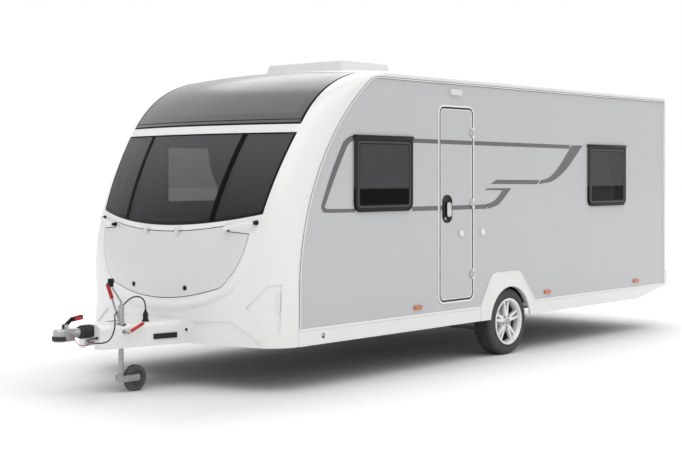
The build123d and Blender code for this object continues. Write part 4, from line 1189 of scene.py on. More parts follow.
@dataclass
class DoorFittings:
    """Seal, handle plate, grip, lock and stay knobs of the entrance door; spots are stations and heights."""

    face: float = HALF + 0.004
    frame_face: float = HALF + 0.006
    leaf: tuple[Flat, Flat] = ((3513, 559), (3962, 2178))
    leaf_corner: float = 0.043
    seal_reach: float = 0.0152
    seal_sunk: float = 0.0006
    seal_proud: float = 0.0016
    plate: tuple[Flat, Flat] = ((3806, 1212), (3936, 1448))
    plate_levels: tuple[Flat, ...] = (
        (0.0, 0.0), (0.0, 0.006), (0.003, 0.009), (0.012, 0.009), (0.018, 0.006), (0.026, 0.0035),
    )
    grip: tuple[Flat, Flat] = ((3827, 1261), (3884, 1386))
    grip_levels: tuple[Flat, ...] = (
        (0.008, 0.004), (0.002, 0.008), (0.0, 0.013), (0.003, 0.018), (0.009, 0.0205), (0.016, 0.0215),
    )
    lock: Flat = (3903, 1247)
    lock_profile: tuple[Flat, ...] = (
        (0.0115, 0.0), (0.0115, 0.008), (0.0100, 0.0105), (0.0070, 0.0110), (0.0062, 0.0092), (0.0010, 0.0090),
    )
    knob: Flat = (3673, 1117)
    catch: Flat = (3353, 1117)
    knob_profile: tuple[Flat, ...] = (
        (0.0230, 0.0), (0.0260, 0.0015), (0.0225, 0.0055), (0.0235, 0.0075), (0.0285, 0.0098), (0.0290, 0.0118),
        (0.0262, 0.0142), (0.0150, 0.0156), (0.001, 0.0160),
    )

    def seal(self) -> None:
        """Lay the black rubber seal on the frame and the white bead along the edge of the leaf."""
        low, high = map(flat, self.leaf)
        for name, reach, width, base, finish, body in (
            ("door_seal", self.seal_reach, 0.0095, self.frame_face, LINE_BLACK, Body.SHELL),
            ("door_edge_bead", 0.0, 0.0080, self.face, FRAME_WHITE, Body.DOOR),
        ):
            corners = [(self.leaf_corner + gap,) * 4 for gap in (reach, reach - width)]
            ends = grown(low, -reach), grown(high, reach)
            ring = wall_ring(*ends, corners, width, Side.LEFT, base - self.seal_sunk, self.seal_proud)
            ring.piece(name, finish, body)

    def dress(self) -> None:
        """Build the fittings in place of the plain ones."""
        self.seal()
        for name, ends, radius, steps, levels, finish in (
            ("plate", self.plate, 0.06, 10, self.plate_levels, TRIM_BLACK),
            ("grip", self.grip, 0.022, 8, self.grip_levels, BRIGHT_RAIL),
        ):
            outline = rounded(*map(flat, ends), (radius,) * 4, steps)
            made = relief(outline, Side.LEFT, self.face, levels)
            made.piece(f"door_handle_{name}", finish, Body.DOOR, node="door_fittings")
        for name, spot, base, profile, count, finish, body in (
            ("door_lock", self.lock, self.face, self.lock_profile, 24, CAST_ZINC, Body.DOOR),
            ("door_stay_knob", self.knob, self.face, self.knob_profile, 36, FRAME_WHITE, Body.DOOR),
            ("door_catch_knob", self.catch, HALF, self.knob_profile, 36, FRAME_WHITE, Body.SHELL),
        ):
            x, z = flat(spot)
            made = Shape().lathe(profile, (x, base, z), (0, 1, 0), count)
            made.piece(name, finish, body, node="door_fittings" if body is Body.DOOR else None)


@dataclass
class NoseDress:
    """Locks and band round the gas locker lid, grab handles, and black lines of the glazing and the brow."""

    nodes: Nodes
    locks: tuple[Flat, ...] = ((0.299, 0.757), (-0.299, 0.757))
    lock_profile: tuple[Flat, ...] = (
        (0.019, -0.002), (0.019, 0.004), (0.0165, 0.0065), (0.012, 0.007), (0.0112, 0.0045), (0.001, 0.0045),
    )
    band_edges: tuple[Line, Line] = (
        ((0.0, 0.652), (0.190, 0.656), (0.340, 0.674), (0.480, 0.702), (0.575, 0.734), (0.680, 0.786), (0.745, 0.871),
         (0.800, 0.966), (0.838, 1.060), (0.862, 1.150)),
        ((0.0, 0.553), (0.190, 0.562), (0.360, 0.590), (0.515, 0.632), (0.640, 0.682), (0.752, 0.748), (0.818, 0.848),
         (0.866, 0.950), (0.896, 1.050), (0.912, 1.150)),
    )
    band_swell: float = 0.021
    band_across: tuple[Flat, ...] = (
        (0.0, -0.2), (0.06, 0.25), (0.16, 0.62), (0.28, 0.9), (0.40, 1.0), (0.54, 0.86), (0.68, 0.58), (0.82, 0.26),
        (0.93, 0.0), (1.0, -0.2),
    )
    handle_ends: tuple[Flat, Flat] = ((0.660, 1.216), (0.885, 1.262))
    handle_proud: float = 0.050
    handle_over: float = 0.012
    handle_half: Flat = (0.0165, 0.0095)
    leg_profile: tuple[Flat, ...] = (
        (0.019, -0.004), (0.019, 0.005), (0.0165, 0.010), (0.0125, 0.020), (0.0120, 0.046),
    )
    glazing: tuple[str, ...] = (
        "front_windows", "front_window_trim", "front_surround", "sunroof_frame", "sunroof_glass",
    )
    cross_lines: tuple[tuple[str, Flat, Flat, float], ...] = (
        ("head", (-0.966, 1.936), (0.966, 1.936), 0.013), ("brow_foot", (-0.966, 2.0135), (0.966, 2.0135), 0.014),
        ("brow_seam", (-0.945, 2.044), (0.945, 2.044), 0.006),
    )
    side_lines: tuple[tuple[str, Flat, Flat, float, Ray], ...] = (
        ("pillar", (0.5343, 1.938), (0.4938, 1.264), 0.054, from_front),
        ("jamb", (0.9660, 1.938), (0.9140, 1.336), 0.016, from_front),
        ("brow", (0.963, 0.03), (0.963, 0.98), 0.019, from_brow),
    )
    line_steps: int = 48
    line_across: tuple[Flat, ...] = ((0.0, -0.0008), (0.08, 0.0012), (0.92, 0.0012), (1.0, -0.0008))
    bolt_spot: Point = (6093, 314, 443)
    bolt_look: Point = (0.655, 0.750, 0.090)
    bolt_profile: tuple[Flat, ...] = ((0.012, -0.003), (0.012, 0.003), (0.0095, 0.0050), (0.001, 0.0056))

    def line(self, name: str, skin: Surface, ends: Line, width: float, ray: Ray = from_front) -> None:
        """Lay a flat black strip on the nose.

        Args:
            name: Name of the piece.
            skin: Surface that it lies on.
            ends: Both ends of its middle line.
            width: Width across the line.
            ray: Ray that finds the skin.
        """
        start, end = map(Vector, ends)
        run = (end - start).normalized()
        aside = Vector((-run.y, run.x)) * width / 2
        shares = [k / self.line_steps for k in range(self.line_steps + 1)]
        edges = [[tuple(start.lerp(end, share) + aside * turn) for share in shares] for turn in (1, -1)]
        laid(skin, edges, self.line_across, ray).piece(f"front_line_{name}", LINE_BLACK, Body.SHELL)

    def lines(self) -> None:
        """Draw the black lines of the front windows and of the brow above them."""
        skin = Surface(self.nodes, *self.glazing)
        for name, *ends, width in self.cross_lines:
            self.line(name, skin, ends, width)
        for side in Side:
            for name, *ends, width, ray in self.side_lines:
                self.line(f"{name}_{side.label}", skin, [(side.value * y, z) for y, z in ends], width, ray)

    def lid_locks(self) -> None:
        """Set the locks on the lid."""
        lid = Surface(self.nodes, "gas_locker_lid")
        for k, spot in enumerate(self.locks):
            made = Shape().lathe(self.lock_profile, *lid.meet(*from_front(spot)), 28)
            made.piece(f"lid_lock_{k}", TRIM_BLACK, Body.LID)

    def bolt_cap(self) -> None:
        """Set the black cap of the fixing bolt on the drawbar cover."""
        cover = Surface(self.nodes, "a_frame_fairing", "front_bumper", "front_surround")
        look = Vector(self.bolt_look)
        spot = cover.meet(Vector(solid(self.bolt_spot)) + look * 0.4, -look)
        Shape().lathe(self.bolt_profile, *spot, 24).piece("cover_bolt_cap", TRIM_BLACK, Body.SHELL)

    def band(self) -> None:
        """Swell the moulding into a soft band that follows the foot of the lid and fades out at its ends."""
        halves = [spaced(smooth_line(edge), 45) for edge in self.band_edges]
        edges = [[(-y, z) for y, z in reversed(half[1:])] + half for half in halves]
        across = [(share, self.band_swell * rise if rise > 0 else -0.0012) for share, rise in self.band_across]
        skin = Surface(self.nodes, "front_surround", "front_bumper")
        made = laid(skin, edges, across, fade=lambda t: min(min(t, 1 - t) / 0.22, 1.0) ** 0.8)
        made.piece("nose_band", SHELL_WHITE, Body.SHELL)

    def handles(self) -> None:
        """Build the flat grab bars on black legs in place of the plain ones."""
        skin = Surface(self.nodes, "front_surround")
        wide, thick = self.handle_half
        for side in Side:
            feet = [skin.meet(*from_front((side.value * y, z)))[0] for y, z in self.handle_ends]
            first, last = (foot + Vector((self.handle_proud, 0, 0)) for foot in feet)
            along = (last - first).normalized()
            out = (Vector((1, 0, 0)) - along * along.x).normalized()
            up = out.cross(along)
            length = (last - first).length + 2 * self.handle_over
            rows = []
            for share in (k / 24 for k in range(25)):
                past = max(abs(2 * share - 1) - 0.9, 0.0)
                size = math.sqrt(max(1e-4, 1 - past**2 / 0.01))
                middle = first + along * (length * share - self.handle_over)
                rows.append([
                    middle + up * (wide * size * math.cos(t)) + out * (thick * (0.4 + 0.6 * size) * math.sin(t))
                    for t in turns(28)
                ])
            bar, legs = Shape().skin(rows), Shape()
            for foot in feet:
                legs.lathe(self.leg_profile, foot, (1, 0, 0), 24)
            bar.piece(f"grab_bar_{side.label}", FRAME_WHITE, Body.SHELL, node="grab_handles")
            legs.piece(f"grab_legs_{side.label}", TRIM_BLACK, Body.SHELL, node="grab_handles")

    def dress(self) -> None:
        """Dress the nose."""
        for work in (self.lid_locks, self.handles, self.band, self.lines, self.bolt_cap):
            work()


@dataclass
class RearLamps:
    """Round lenses with rings on the rear lamp pods: lens height and finish, from the top."""

    nodes: Nodes
    across: float = 0.890
    radius: float = 0.037
    lenses: tuple[tuple[float, Finish], ...] = ((0.853, AMBER_LENS), (0.770, RED_LENS), (0.687, CLEAR_LENS))

    def dress(self) -> None:
        """Set the lenses with their rings on both pods."""
        pods = Surface(self.nodes, "rear_lamps")
        r = self.radius
        lens = ((r, -0.006), (r, 0.003), (0.9 * r, 0.0055), (0.6 * r, 0.0085), (0.001, 0.0100))
        bore, rim = r + 0.0003, r + 0.006
        ring = ((rim, -0.006), (rim, 0.002), (r + 0.004, 0.0045), (bore, 0.0045), (bore, -0.006))
        for side in Side:
            for k, (z, finish) in enumerate(self.lenses):
                spot = pods.meet((at(-900), side.value * self.across, z), (1, 0, 0))
                for name, profile, coat in (("lens", lens, finish), ("lens_ring", ring, BRIGHT_RAIL)):
                    made = Shape().lathe(profile, *spot, 40)
                    made.piece(f"rear_{name}_{k}_{side.label}", coat, Body.SHELL)


@dataclass
class SkirtTrim:
    """Bead along a skirt and the moulded spat round its wheel arch; lengths in millimetres."""

    side: Side
    front: float = 3380
    rear: float = 2526
    shoulders: tuple[Point, ...] = ((3198, 752, 130), (2775, 752, 90))
    foot: float = 340
    foot_round: float = 60
    skirt_top: float = 469
    arch: Point = (2926, 298, 316)
    front_end: float = 5700
    rear_end: float = 2
    sections: int = 120
    across: tuple[Point, ...] = (
        (0, 0.0, 0.0), (0, 0.0, 11.0), (0, 2.5, 15.5), (0, 7.5, 17.8), (0, 13.0, 16.6), (0, 22.0, 13.4),
        (0.5, 0.0, 12.6), (1, -26.0, 13.4), (1, -13.0, 16.4), (1, -5.0, 17.8), (1, -1.2, 16.0), (1, 0.0, 12.0),
        (1, 0.0, 0.0),
    )
    bead_middle: Flat = (HALF + 0.0078, -0.0105)
    bead_half: Flat = (0.0055, 0.0098)

    def spat(self) -> None:
        """Build the spat with a rolled rim at both edges."""
        outer = eased((
            (self.front, self.foot, 0), (self.front, self.skirt_top, self.foot_round), *self.shoulders,
            (self.rear, self.skirt_top, self.foot_round), (self.rear, self.foot, 0),
        ))
        x, z, radius = self.arch
        start = math.asin((self.foot - z) / radius)
        angles = [start + (math.pi - 2 * start) * k / 80 for k in range(81)]
        inner = [(x + radius * math.cos(a), z + radius * math.sin(a)) for a in angles]
        rows = []
        for here, there in zip(spaced(outer, self.sections), spaced(inner, self.sections)):
            run, row = Vector(there) - Vector(here), []
            for share, inset, proud in self.across:
                spot = Vector(here) + run * share + run.normalized() * inset
                row.append((at(spot.x), self.side.value * (HALF + proud / 1000), spot.y / 1000))
            rows.append(row)
        made = Shape().skin(rows)
        made.piece(f"wheel_spat_{self.side.label}", SHELL_WHITE, Body.SHELL, node="wheel_spats", slot="white_moulding")

    def bead(self, name: str, front: float, rear: float) -> None:
        """Lay a half-round bead along the top of the skirt.

        Args:
            name: Name of the piece.
            front: Station of its front end.
            rear: Station of its rear end.
        """
        (y, drop), (deep, high) = self.bead_middle, self.bead_half
        angles = [math.pi * (k / 10 - 0.5) for k in range(11)]
        top, out = self.skirt_top / 1000 + drop, self.side.value
        rows = [
            [(at(station), out * (y + deep * math.cos(a)), top + high * math.sin(a)) for a in angles]
            for station in (front, (front + rear) / 2, rear)
        ]
        Shape().skin(rows).piece(f"skirt_bead_{name}_{self.side.label}", SHELL_WHITE, Body.SHELL)

    def dress(self) -> None:
        """Dress the side."""
        self.spat()
        self.bead("front", self.front_end, self.front + 1)
        self.bead("rear", self.rear - 1, self.rear_end)


@dataclass
class RoadWheel:
    """Treaded tyre, wheel bolts, hub cap and valve of one road wheel."""

    side: Side
    station: float = 2918
    middle: float = 1.0045
    radius: float = 0.298
    around: int = 144
    wall: tuple[Flat, ...] = (
        (0.198, 0.076), (0.205, 0.084), (0.220, 0.0895), (0.243, 0.0922), (0.262, 0.0905), (0.277, 0.0865),
        (0.2885, 0.0795), (0.2945, 0.0715), (0.2965, 0.063),
    )
    grooves: tuple[float, ...] = (0.045, 0.015, -0.015, -0.045)
    groove: tuple[Flat, ...] = ((0.0, 0.0050), (0.0072, 0.0036), (0.0072, -0.0036), (0.0, -0.0050))
    cut_depth: float = 0.006
    cut_from: float = 0.27
    bolts: int = 5
    bolt_profile: tuple[Flat, ...] = (
        (0.0125, 0.0), (0.0125, 0.003), (0.0095, 0.0034), (0.0095, 0.0115), (0.0075, 0.0132), (0.001, 0.0134),
    )
    cap_profile: tuple[Flat, ...] = (
        (0.031, 0.0), (0.031, 0.005), (0.029, 0.008), (0.024, 0.0092), (0.023, 0.0082), (0.012, 0.0090),
        (0.001, 0.0092),
    )
    valve_profile: tuple[Flat, ...] = (
        (0.004, 0.0), (0.004, 0.018), (0.0052, 0.019), (0.0052, 0.032), (0.0035, 0.0345),
    )

    @property
    def body(self) -> Body:
        """Body of this wheel."""
        return Body.WHEEL_LEFT if self.side is Side.LEFT else Body.WHEEL_RIGHT

    def profile(self) -> list[tuple[float, float, bool]]:
        """Section from bead to bead.

        Returns:
            Radius, offset from the middle, and whether cross cuts reach there.
        """
        wall = [(r, y, r > self.cut_from) for r, y in self.wall]
        crown = []
        for groove in self.grooves:
            top = self.radius - 0.0004 - 0.25 * groove**2
            crown += [(top - drop, groove + offset, False) for drop, offset in self.groove]
        return [*wall, *crown, *((r, -y, cut) for r, y, cut in reversed(wall))]

    def tyre(self) -> None:
        """Build the tyre in place of the plain one."""
        x, y = at(self.station), self.side.value * self.middle
        rows = []
        for k, angle in enumerate(turns(self.around)):
            row = []
            for radius, offset, cut in self.profile():
                reach = radius - (self.cut_depth if cut and (k + (2 if offset < 0 else 0)) % 4 == 0 else 0.0)
                row.append((x + reach * math.sin(angle), y + offset, self.radius + reach * math.cos(angle)))
            rows.append(row)
        label = self.side.label
        made = Shape().skin(rows, Ends.JOINED)
        made.piece(f"tread_tyre_{label}", TYRE_RUBBER, self.body, node=f"{label}_tyre", slot="tyre")

    def fasteners(self) -> None:
        """Add bolts, hub cap and valve."""
        bolt_angles = [2 * math.pi * (k + 0.5) / self.bolts + math.pi / 2 for k in range(self.bolts)]
        for name, profile, circle, angles, out, count, finish in (
            ("wheel_bolts", self.bolt_profile, 0.051, bolt_angles, 0.069, 6, ZINC),
            ("hub_cap", self.cap_profile, 0.0, [0.0], 0.0795, 40, CAST_ZINC),
            ("tyre_valve", self.valve_profile, 0.168, [math.radians(38)], 0.058, 12, PLAIN_BLACK),
        ):
            shape = Shape()
            for a in angles:
                x, z = at(self.station) + circle * math.cos(a), self.radius + circle * math.sin(a)
                spot = (x, self.side.value * (self.middle + out), z)
                shape.lathe(profile, spot, (0, self.side.value, 0), count)
            shape.piece(f"{name}_{self.side.label}", finish, self.body, smooth=count > 6)

    def dress(self) -> None:
        """Dress the wheel."""
        self.tyre()
        self.fasteners()


@dataclass
class TowGear:
    """Leads, plug, grips and knobs on the drawbar; places are stations, Y and Z in millimetres."""

    lead_route: tuple[Point, ...] = (
        (6785, 95, 420), (6850, 95, 420), (6890, 135, 412), (6890, 191, 406), (6850, 231, 402), (6790, 231, 404),
        (6740, 220, 428), (6706, 207, 468), (6678, 188, 510), (6640, 138, 558), (6590, 74, 580), (6525, 48, 602),
        (6489, 66, 656), (6433, 93, 702), (6381, 118, 702), (6345, 136, 662), (6345, 136, 602),
    )
    lead_diameter: float = 0.011
    lead_length: float = 0.989
    cable_route: tuple[Point, ...] = (
        (6765, 78, 400), (6796, 78, 400), (6834, 80, 384), (6876, 80, 374), (6916, 76, 382), (6944, 68, 410),
        (6954, 56, 446), (6958, 30, 472),
    )
    cable_diameter: float = 0.005
    cable_length: float = 0.270
    plug_foot: float = 526
    brake_pivot: Point = (6410, -76, 470)
    brake_lean: float = 21.5
    brake_grip: Flat = (0.228, 0.348)
    clamp: tuple[Point, Point] = ((6577, 212, 450), (6440, 226, 515))
    clamp_grip: Flat = (0.16, 1.015)
    clamp_profile: tuple[Flat, ...] = (
        (0.0102, 0.0), (0.0118, 0.03), (0.0125, 0.2), (0.0118, 0.5), (0.0128, 0.8), (0.0124, 0.95), (0.008, 1.0),
    )
    crank_knob: tuple[Point, Point] = ((6662, 120, 794.0), (6662, 120, 853.5))
    crank_profile: tuple[Flat, ...] = (
        (0.014, -0.01), (0.0198, 0.0), (0.0199, 0.36), (0.0232, 0.47), (0.0245, 0.62), (0.0240, 0.84), (0.0212, 0.97),
        (0.0120, 1.0),
    )
    pad: tuple[Point, Point] = ((6922, 0, 579.2), (6842, 0, 591.1))
    pad_half: float = 0.012
    pad_levels: tuple[Flat, ...] = ((0.0, -0.002), (0.0, 0.0016), (0.0015, 0.0032), (0.005, 0.0040))
    cheek: tuple[Flat, ...] = ((6842, 566), (6842, 584.5), (6910, 574.5), (6910, 556))
    cheek_face: float = 0.0165

    def hang(
        self, name: str, node: str, route: Sequence[Point], diameter: float, length: float, finish: Finish, **end: Any
    ) -> None:
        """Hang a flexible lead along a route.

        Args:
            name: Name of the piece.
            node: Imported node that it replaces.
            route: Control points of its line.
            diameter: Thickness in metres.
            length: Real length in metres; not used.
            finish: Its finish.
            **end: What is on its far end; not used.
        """
        data = bpy.data.curves.new(name, "CURVE")
        data.dimensions = "3D"
        data.bevel_depth, data.bevel_resolution = diameter / 2, 5
        data.resolution_u, data.use_fill_caps = 10, True
        spline = data.splines.new("NURBS")
        spline.points.add(len(route) - 1)
        for point, spot in zip(spline.points, route):
            point.co = (*solid(spot), 1)
        spline.order_u = 3
        spline.use_endpoint_u = True
        made = added(name, data, finish)
        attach(made, Body.SHELL.value)
        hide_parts(node)

    def plug(self) -> Thing:
        """Ribbed plug body with a collar and a strain relief.

        Returns:
            The plug.
        """
        profile = [(0.0170, 0.0), (0.0205, 0.001), (0.0208, 0.012), (0.0185, 0.013), (0.0185, 0.017)]
        for low in (0.018 + 0.007 * k for k in range(4)):
            profile += [(0.0202, low), (0.0208, low + 0.0012), (0.0208, low + 0.0040), (0.0192, low + 0.0055)]
        profile += [(0.0186, 0.048), (0.0160, 0.054)]
        for low, wide in ((0.055 + 0.005 * k, 0.0142 - 0.0018 * k) for k in range(4)):
            profile += [(wide, low), (wide, low + 0.0026), (wide - 0.002, low + 0.0034)]
        foot = solid((*self.lead_route[-1][:2], self.plug_foot))
        made = Shape().lathe([*profile, (0.0070, 0.0755)], foot, (0, 0, 1), 36)
        return made.piece("lead_plug_body", PLAIN_BLACK, Body.SHELL, node="lead_plug")

    def leads(self) -> None:
        """Hang the electric lead and the breakaway cable."""
        plug = self.plug()
        self.hang(
            "electric_lead", "plug_lead", self.lead_route, self.lead_diameter, self.lead_length, LEAD_SHEATH,
            far_end="plug", with_pieces=[plug],
        )
        self.hang(
            "breakaway_wire", "breakaway_cable", self.cable_route, self.cable_diameter, self.cable_length, RED_WIRE,
            far_end="object",
        )

    def sleeve(self, name: str, ends: Sequence[Sequence[float]], profile: Line, finish: Finish, body: Body) -> None:
        """Turned grip along a line between two points.

        Args:
            name: Name of the piece.
            ends: Start and end in metres.
            profile: Pairs of radius and share of the line.
            finish: Its finish.
            body: Body that carries it.
        """
        run = Vector(ends[1]) - Vector(ends[0])
        shape = Shape().lathe([(radius, share * run.length) for radius, share in profile], ends[0], run, 28)
        shape.piece(name, finish, body)

    def grips(self) -> None:
        """Put the grips on the handbrake and the jockey clamp."""
        lean = math.radians(self.brake_lean)
        pivot, way = Vector(solid(self.brake_pivot)), Vector((math.sin(lean), 0.0, math.cos(lean)))
        ridges = [(0.009, 0.0), (0.0142, 0.01), (0.0150, 0.05)]
        for low in (0.10 + 0.11 * k for k in range(7)):
            ridges += [(0.0150, low), (0.0143, low + 0.03), (0.0143, low + 0.06), (0.0150, low + 0.09)]
        ridges += [(0.0150, 0.92), (0.0146, 0.97), (0.0110, 1.0)]
        start, end = (pivot + way * reach for reach in self.brake_grip)
        self.sleeve("handbrake_grip", (start, end), ridges, RED_GRIP, Body.HANDBRAKE)
        button = ((0.0075, -0.2), (0.0075, 0.7), (0.005, 1.0))
        self.sleeve("handbrake_button", (end, end + way * 0.008), button, TRIM_BLACK, Body.HANDBRAKE)
        foot, tip = (Vector(solid(spot)) for spot in self.clamp)
        bar = [foot.lerp(tip, share) for share in self.clamp_grip]
        self.sleeve("jockey_clamp_grip", bar, self.clamp_profile, RED_GRIP, Body.SHELL)

    def lever_pads(self) -> None:
        """Set the red thumb pad and cheeks on the coupling lever."""
        start, end = (Vector(solid(spot)) for spot in self.pad)
        along = (end - start).normalized()
        up = along.cross(Vector((0, 1, 0))).normalized()
        up = up if up.z > 0 else -up
        rows = []
        for inset, height in self.pad_levels:
            low, high = (inset, inset - self.pad_half), ((end - start).length - inset, self.pad_half - inset)
            outline = rounded(low, high, (0.0065,) * 4, 5)
            rows.append([start + along * u + Vector((0, v, 0)) + up * height for u, v in outline])
        Shape().skin(rows).piece("coupling_thumb_pad", RED_GRIP, Body.COUPLING)
        for side in Side:
            made = relief([flat(spot) for spot in self.cheek], side, self.cheek_face, bevelled(0.0022, 0.0012))
            made.piece(f"coupling_cheek_{side.label}", RED_GRIP, Body.COUPLING)

    def crank(self) -> None:
        """Put the knob on the jockey wheel's crank."""
        ends = [solid(spot) for spot in self.crank_knob]
        self.sleeve("jockey_crank_knob", ends, self.crank_profile, TRIM_BLACK, Body.SHELL)

    def dress(self) -> None:
        """Dress the drawbar."""
        for work in (self.leads, self.grips, self.lever_pads, self.crank):
            work()


@dataclass
class Cushion:
    """One upholstered cushion between two corners in metres."""

    name: str
    low: Point
    high: Point
    swell: float = 0.012
    cell: float = 0.045

    def build(self) -> Thing:
        """Build a block of fine cells, a little smaller than its place.

        Returns:
            The cushion, ready to be filled.
        """
        shape = Shape()
        low = Vector(self.low) + Vector((self.swell,) * 3)
        high = Vector(self.high) - Vector((self.swell,) * 3)
        count = [max(3, round((b - a) / self.cell)) for a, b in zip(low, high)]
        found: dict[tuple[int, ...], int] = {}

        def number(key: tuple[int, ...]) -> int:
            """Find the point of one cell corner, or add it.

            Args:
                key: Steps of the corner along the three axes.

            Returns:
                The point's number.
            """
            if key not in found:
                found[key] = shape.loop([[a + (b - a) * k / n for a, b, k, n in zip(low, high, key, count)]])[0]
            return found[key]

        for axis in range(3):
            u, v = (axis + 1) % 3, (axis + 2) % 3
            cells = [(end, i, j) for end in (0, count[axis]) for i in range(count[u]) for j in range(count[v])]
            for end, i, j in cells:
                face = []
                for du, dv in ((0, 0), (1, 0), (1, 1), (0, 1)):
                    place = {axis: end, u: i + du, v: j + dv}
                    face.append(number(tuple(place[k] for k in range(3))))
                shape.faces.append(tuple(face))
        made = shape.piece(self.name, SEAT_CLOTH, Body.SHELL, node="cushions", slot="seat_fabric")
        return made


@dataclass
class Cabin:
    """Cushions and curtains that show through the glass."""

    frames: int = 14
    cap: float = 0.018
    wall: float = PANEL_INSIDE - 0.008
    bench: Flat = (4160, 5390)
    seats: tuple[tuple[str, float, float, float], ...] = (
        ("seat", 0.475, 0.800, 0.930), ("back", PANEL_INSIDE - 0.150, 0.930, 1.300),
    )
    bed: tuple[Flat, Flat, Flat] = ((130, 1890), (-0.290, PANEL_INSIDE - 0.008), (0.780, 0.930))
    pleats: int = 7
    tie_height: float = 0.72
    tie_spread: float = 0.16
    spread: float = 0.255
    taper: float = 0.10
    waist: float = 0.075
    fold_depth: float = 0.030
    hem: float = 1.05

    def cushions(self) -> list[Cushion]:
        """Places of the cushions.

        Returns:
            The cushions, not yet built.
        """
        made = []
        for side in Side:
            for name, inner, low, high in self.seats:
                ys = sorted((side.value * inner, side.value * self.wall))
                ends = [(at(x), y, z) for x, y, z in zip(self.bench, ys, (low, high))]
                made.append(Cushion(f"{name}_cushion_{side.label}", *ends))
        ends = [(at(x), y, z) for x, y, z in zip(*self.bed)]
        return [*made, Cushion("mattress", *ends, cell=0.06)]

    def fill(self, pieces: Sequence[Thing]) -> None:
        """Blow the cushions up as filled cloth, then keep each point near its place.

        Args:
            pieces: Cushions to fill.
        """
        scene = bpy.context.scene
        starts = []
        for piece in pieces:
            starts.append([v.co.copy() for v in piece.data.vertices])
            cloth = piece.modifiers.new("fill", "CLOTH")
            cloth.settings.quality = 4
            cloth.settings.use_pressure = True
            cloth.settings.uniform_pressure_force = 4.0
            cloth.settings.effector_weights.gravity = 0.0
            cloth.collision_settings.use_collision = False
            cloth.point_cache.frame_start, cloth.point_cache.frame_end = 1, self.frames
        for frame in range(1, self.frames + 1):
            scene.frame_set(frame)
        graph = bpy.context.evaluated_depsgraph_get()
        for piece, start in zip(pieces, starts):
            filled = [v.co.copy() for v in piece.evaluated_get(graph).data.vertices]
            piece.modifiers.clear()
            for vertex, was, now in zip(piece.data.vertices, start, filled):
                step = now - was
                vertex.co = was + step * min(1.0, self.cap / max(step.length, 1e-9))
        scene.frame_set(1)

    def curtain(self, name: str, window: Window) -> None:
        """Hang one tied-back curtain at the rear edge of a window.

        Args:
            name: Name of the piece.
            window: The window.
        """
        columns, rows = 12 * self.pleats, 30
        top, low = window.head / 1000 + 0.028, window.sill / 1000 - 0.018
        grid = []
        for v in (i / rows for i in range(rows + 1)):
            tie = math.exp(-((v - self.tie_height) / self.tie_spread) ** 2)
            width = self.spread - self.taper * min(v / self.tie_height, 1.0) - self.waist * tie
            start = 0.012 + 0.012 * tie
            row = []
            for u in (j / columns for j in range(columns + 1)):
                fold = 0.5 + 0.5 * math.cos(2 * math.pi * self.pleats * u + 0.6 * math.sin(5 * v))
                depth = PANEL_INSIDE - 0.004 - (self.fold_depth - 0.012 * tie) * fold
                row.append((at(window.rear) + start + width * u, window.side.value * depth, top + (low - top) * v))
            grid.append(row)
        shape = Shape().skin(grid, Ends.OPEN, closed=False)
        made = shape.piece(name, CURTAIN_CLOTH, Body.SHELL, node="curtains", slot="curtain_cloth")

    def dress(self) -> None:
        """Furnish the cabin: fill and round the cushions and hang the curtains."""
        pieces = [cushion.build() for cushion in self.cushions()]
        self.fill(pieces)
        for piece in pieces:
            soft = piece.modifiers.new("round", "SUBSURF")
            soft.levels = soft.render_levels = 1
        for k, window in enumerate(window for window in WINDOWS if window.curtained):
            self.curtain(f"curtain_{k}", window)


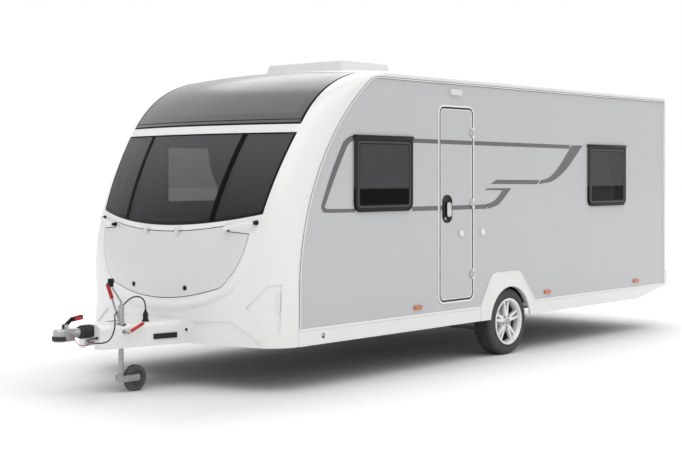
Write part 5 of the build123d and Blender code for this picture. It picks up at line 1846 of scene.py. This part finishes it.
@dataclass
class Studio:
    """Floor, light and camera."""

    camera_place: Point = (12.831 + REAR_X, 7.798, 1.614)
    camera_turn: float = 131.3057
    lens: float = 69.5
    shift: float = -0.0912
    world_level: float = 0.54
    softness: float = 50.0
    lamps: tuple[tuple[str, Point, float], ...] = (
        ("key_lamp", (0.50, 0.30, 1.00), 0.85),
        ("side_lamp", (-0.35, 0.55, 0.80), 0.5),
        ("back_lamp", (-0.62, -0.40, 0.68), 1.05),
    )
    floor_lines: tuple[float, ...] = (-120, -12, 12, 120)

    def floor(self) -> None:
        """Lay a floor that reaches past the picture's edge on all sides."""
        rows = [[(x, y, 0.0) for y in self.floor_lines] for x in self.floor_lines]
        mesh = Shape().skin(rows, Ends.OPEN, closed=False).mesh("studio_floor")
        added("studio_floor", mesh, STUDIO_PAPER)

    def lamp(self, name: str, source: Point, strength: float) -> None:
        """Shine a broad soft lamp from far away.

        Args:
            name: Name of the lamp.
            source: Direction that the light comes from.
            strength: Power per square metre.
        """
        data = bpy.data.lights.new(name, "SUN")
        data.energy, data.angle = strength, math.radians(self.softness)
        added(name, data).rotation_euler = (-Vector(source)).to_track_quat("-Z", "Y").to_euler()

    def world(self) -> None:
        """Light the room evenly, and white to the eye and to mirrors."""
        world = bpy.data.worlds.new("studio_world")
        bpy.context.scene.world = world
        world.use_nodes = True
        nodes, links = world.node_tree.nodes, world.node_tree.links
        sky = nodes["Background"]
        sky.inputs["Color"].default_value = (1.0, 1.0, 1.0, 1.0)
        path = nodes.new("ShaderNodeLightPath")
        seen = path.outputs["Is Camera Ray"]
        for name in ("Is Glossy Ray", "Is Transmission Ray"):
            either = nodes.new("ShaderNodeMath")
            either.operation = "MAXIMUM"
            links.new(seen, either.inputs[0])
            links.new(path.outputs[name], either.inputs[1])
            seen = either.outputs[0]
        level = nodes.new("ShaderNodeMapRange")
        level.inputs["To Min"].default_value = self.world_level
        level.inputs["To Max"].default_value = 1.0
        links.new(seen, level.inputs["Value"])
        links.new(level.outputs["Result"], sky.inputs["Strength"])

    def camera(self) -> None:
        """Set the camera level with the photographer's eye."""
        data = bpy.data.cameras.new("studio_camera")
        data.lens, data.sensor_width, data.sensor_fit = self.lens, 36.0, "HORIZONTAL"
        data.shift_y, data.clip_end = self.shift, 300.0
        camera = added("studio_camera", data)
        camera.location = self.camera_place
        camera.rotation_euler = (math.pi / 2, 0.0, math.radians(self.camera_turn))
        bpy.context.scene.camera = camera

    def build(self) -> None:
        """Set up the studio."""
        bpy.context.scene.view_settings.view_transform = "Standard"
        self.floor()
        self.world()
        for lamp in self.lamps:
            self.lamp(*lamp)
        self.camera()


@dataclass
class Caravan:
    """The whole dressed object."""

    nodes: Nodes

    def finish_nodes(self) -> None:
        """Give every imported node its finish."""
        nodes = dict(self.nodes)
        for finish, names in NODE_FINISHES.items():
            for mesh in (nodes.pop(name).data for name in names):
                mesh.materials.clear()
                mesh.materials.append(finish.material())
        if nodes:
            raise ValueError(f"nodes with no finish: {sorted(nodes)}")

    def dress(self) -> None:
        """Add all pieces."""
        self.finish_nodes()
        for side in Side:
            for part in (StripeSet, SkirtTrim, RailLines, RoadWheel):
                part(side).dress()
        for part in (SideGlazing(), DoorFittings(), NoseDress(self.nodes), RearLamps(self.nodes), TowGear(), Cabin()):
            part.dress()


def main() -> None:
    """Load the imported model, dress it and set up the studio."""
    logging.basicConfig(level=logging.INFO)
    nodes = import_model()["nodes"]
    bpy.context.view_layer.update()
    known = set(bpy.data.objects)
    Caravan(nodes).dress()
    for piece in bpy.data.objects:
        if piece not in known:
            LOG.info("added %s with %s", piece.name, piece.data.materials[0].name)
    Studio().build()
    bpy.context.view_layer.update()


if __name__ == "__main__":
    main()
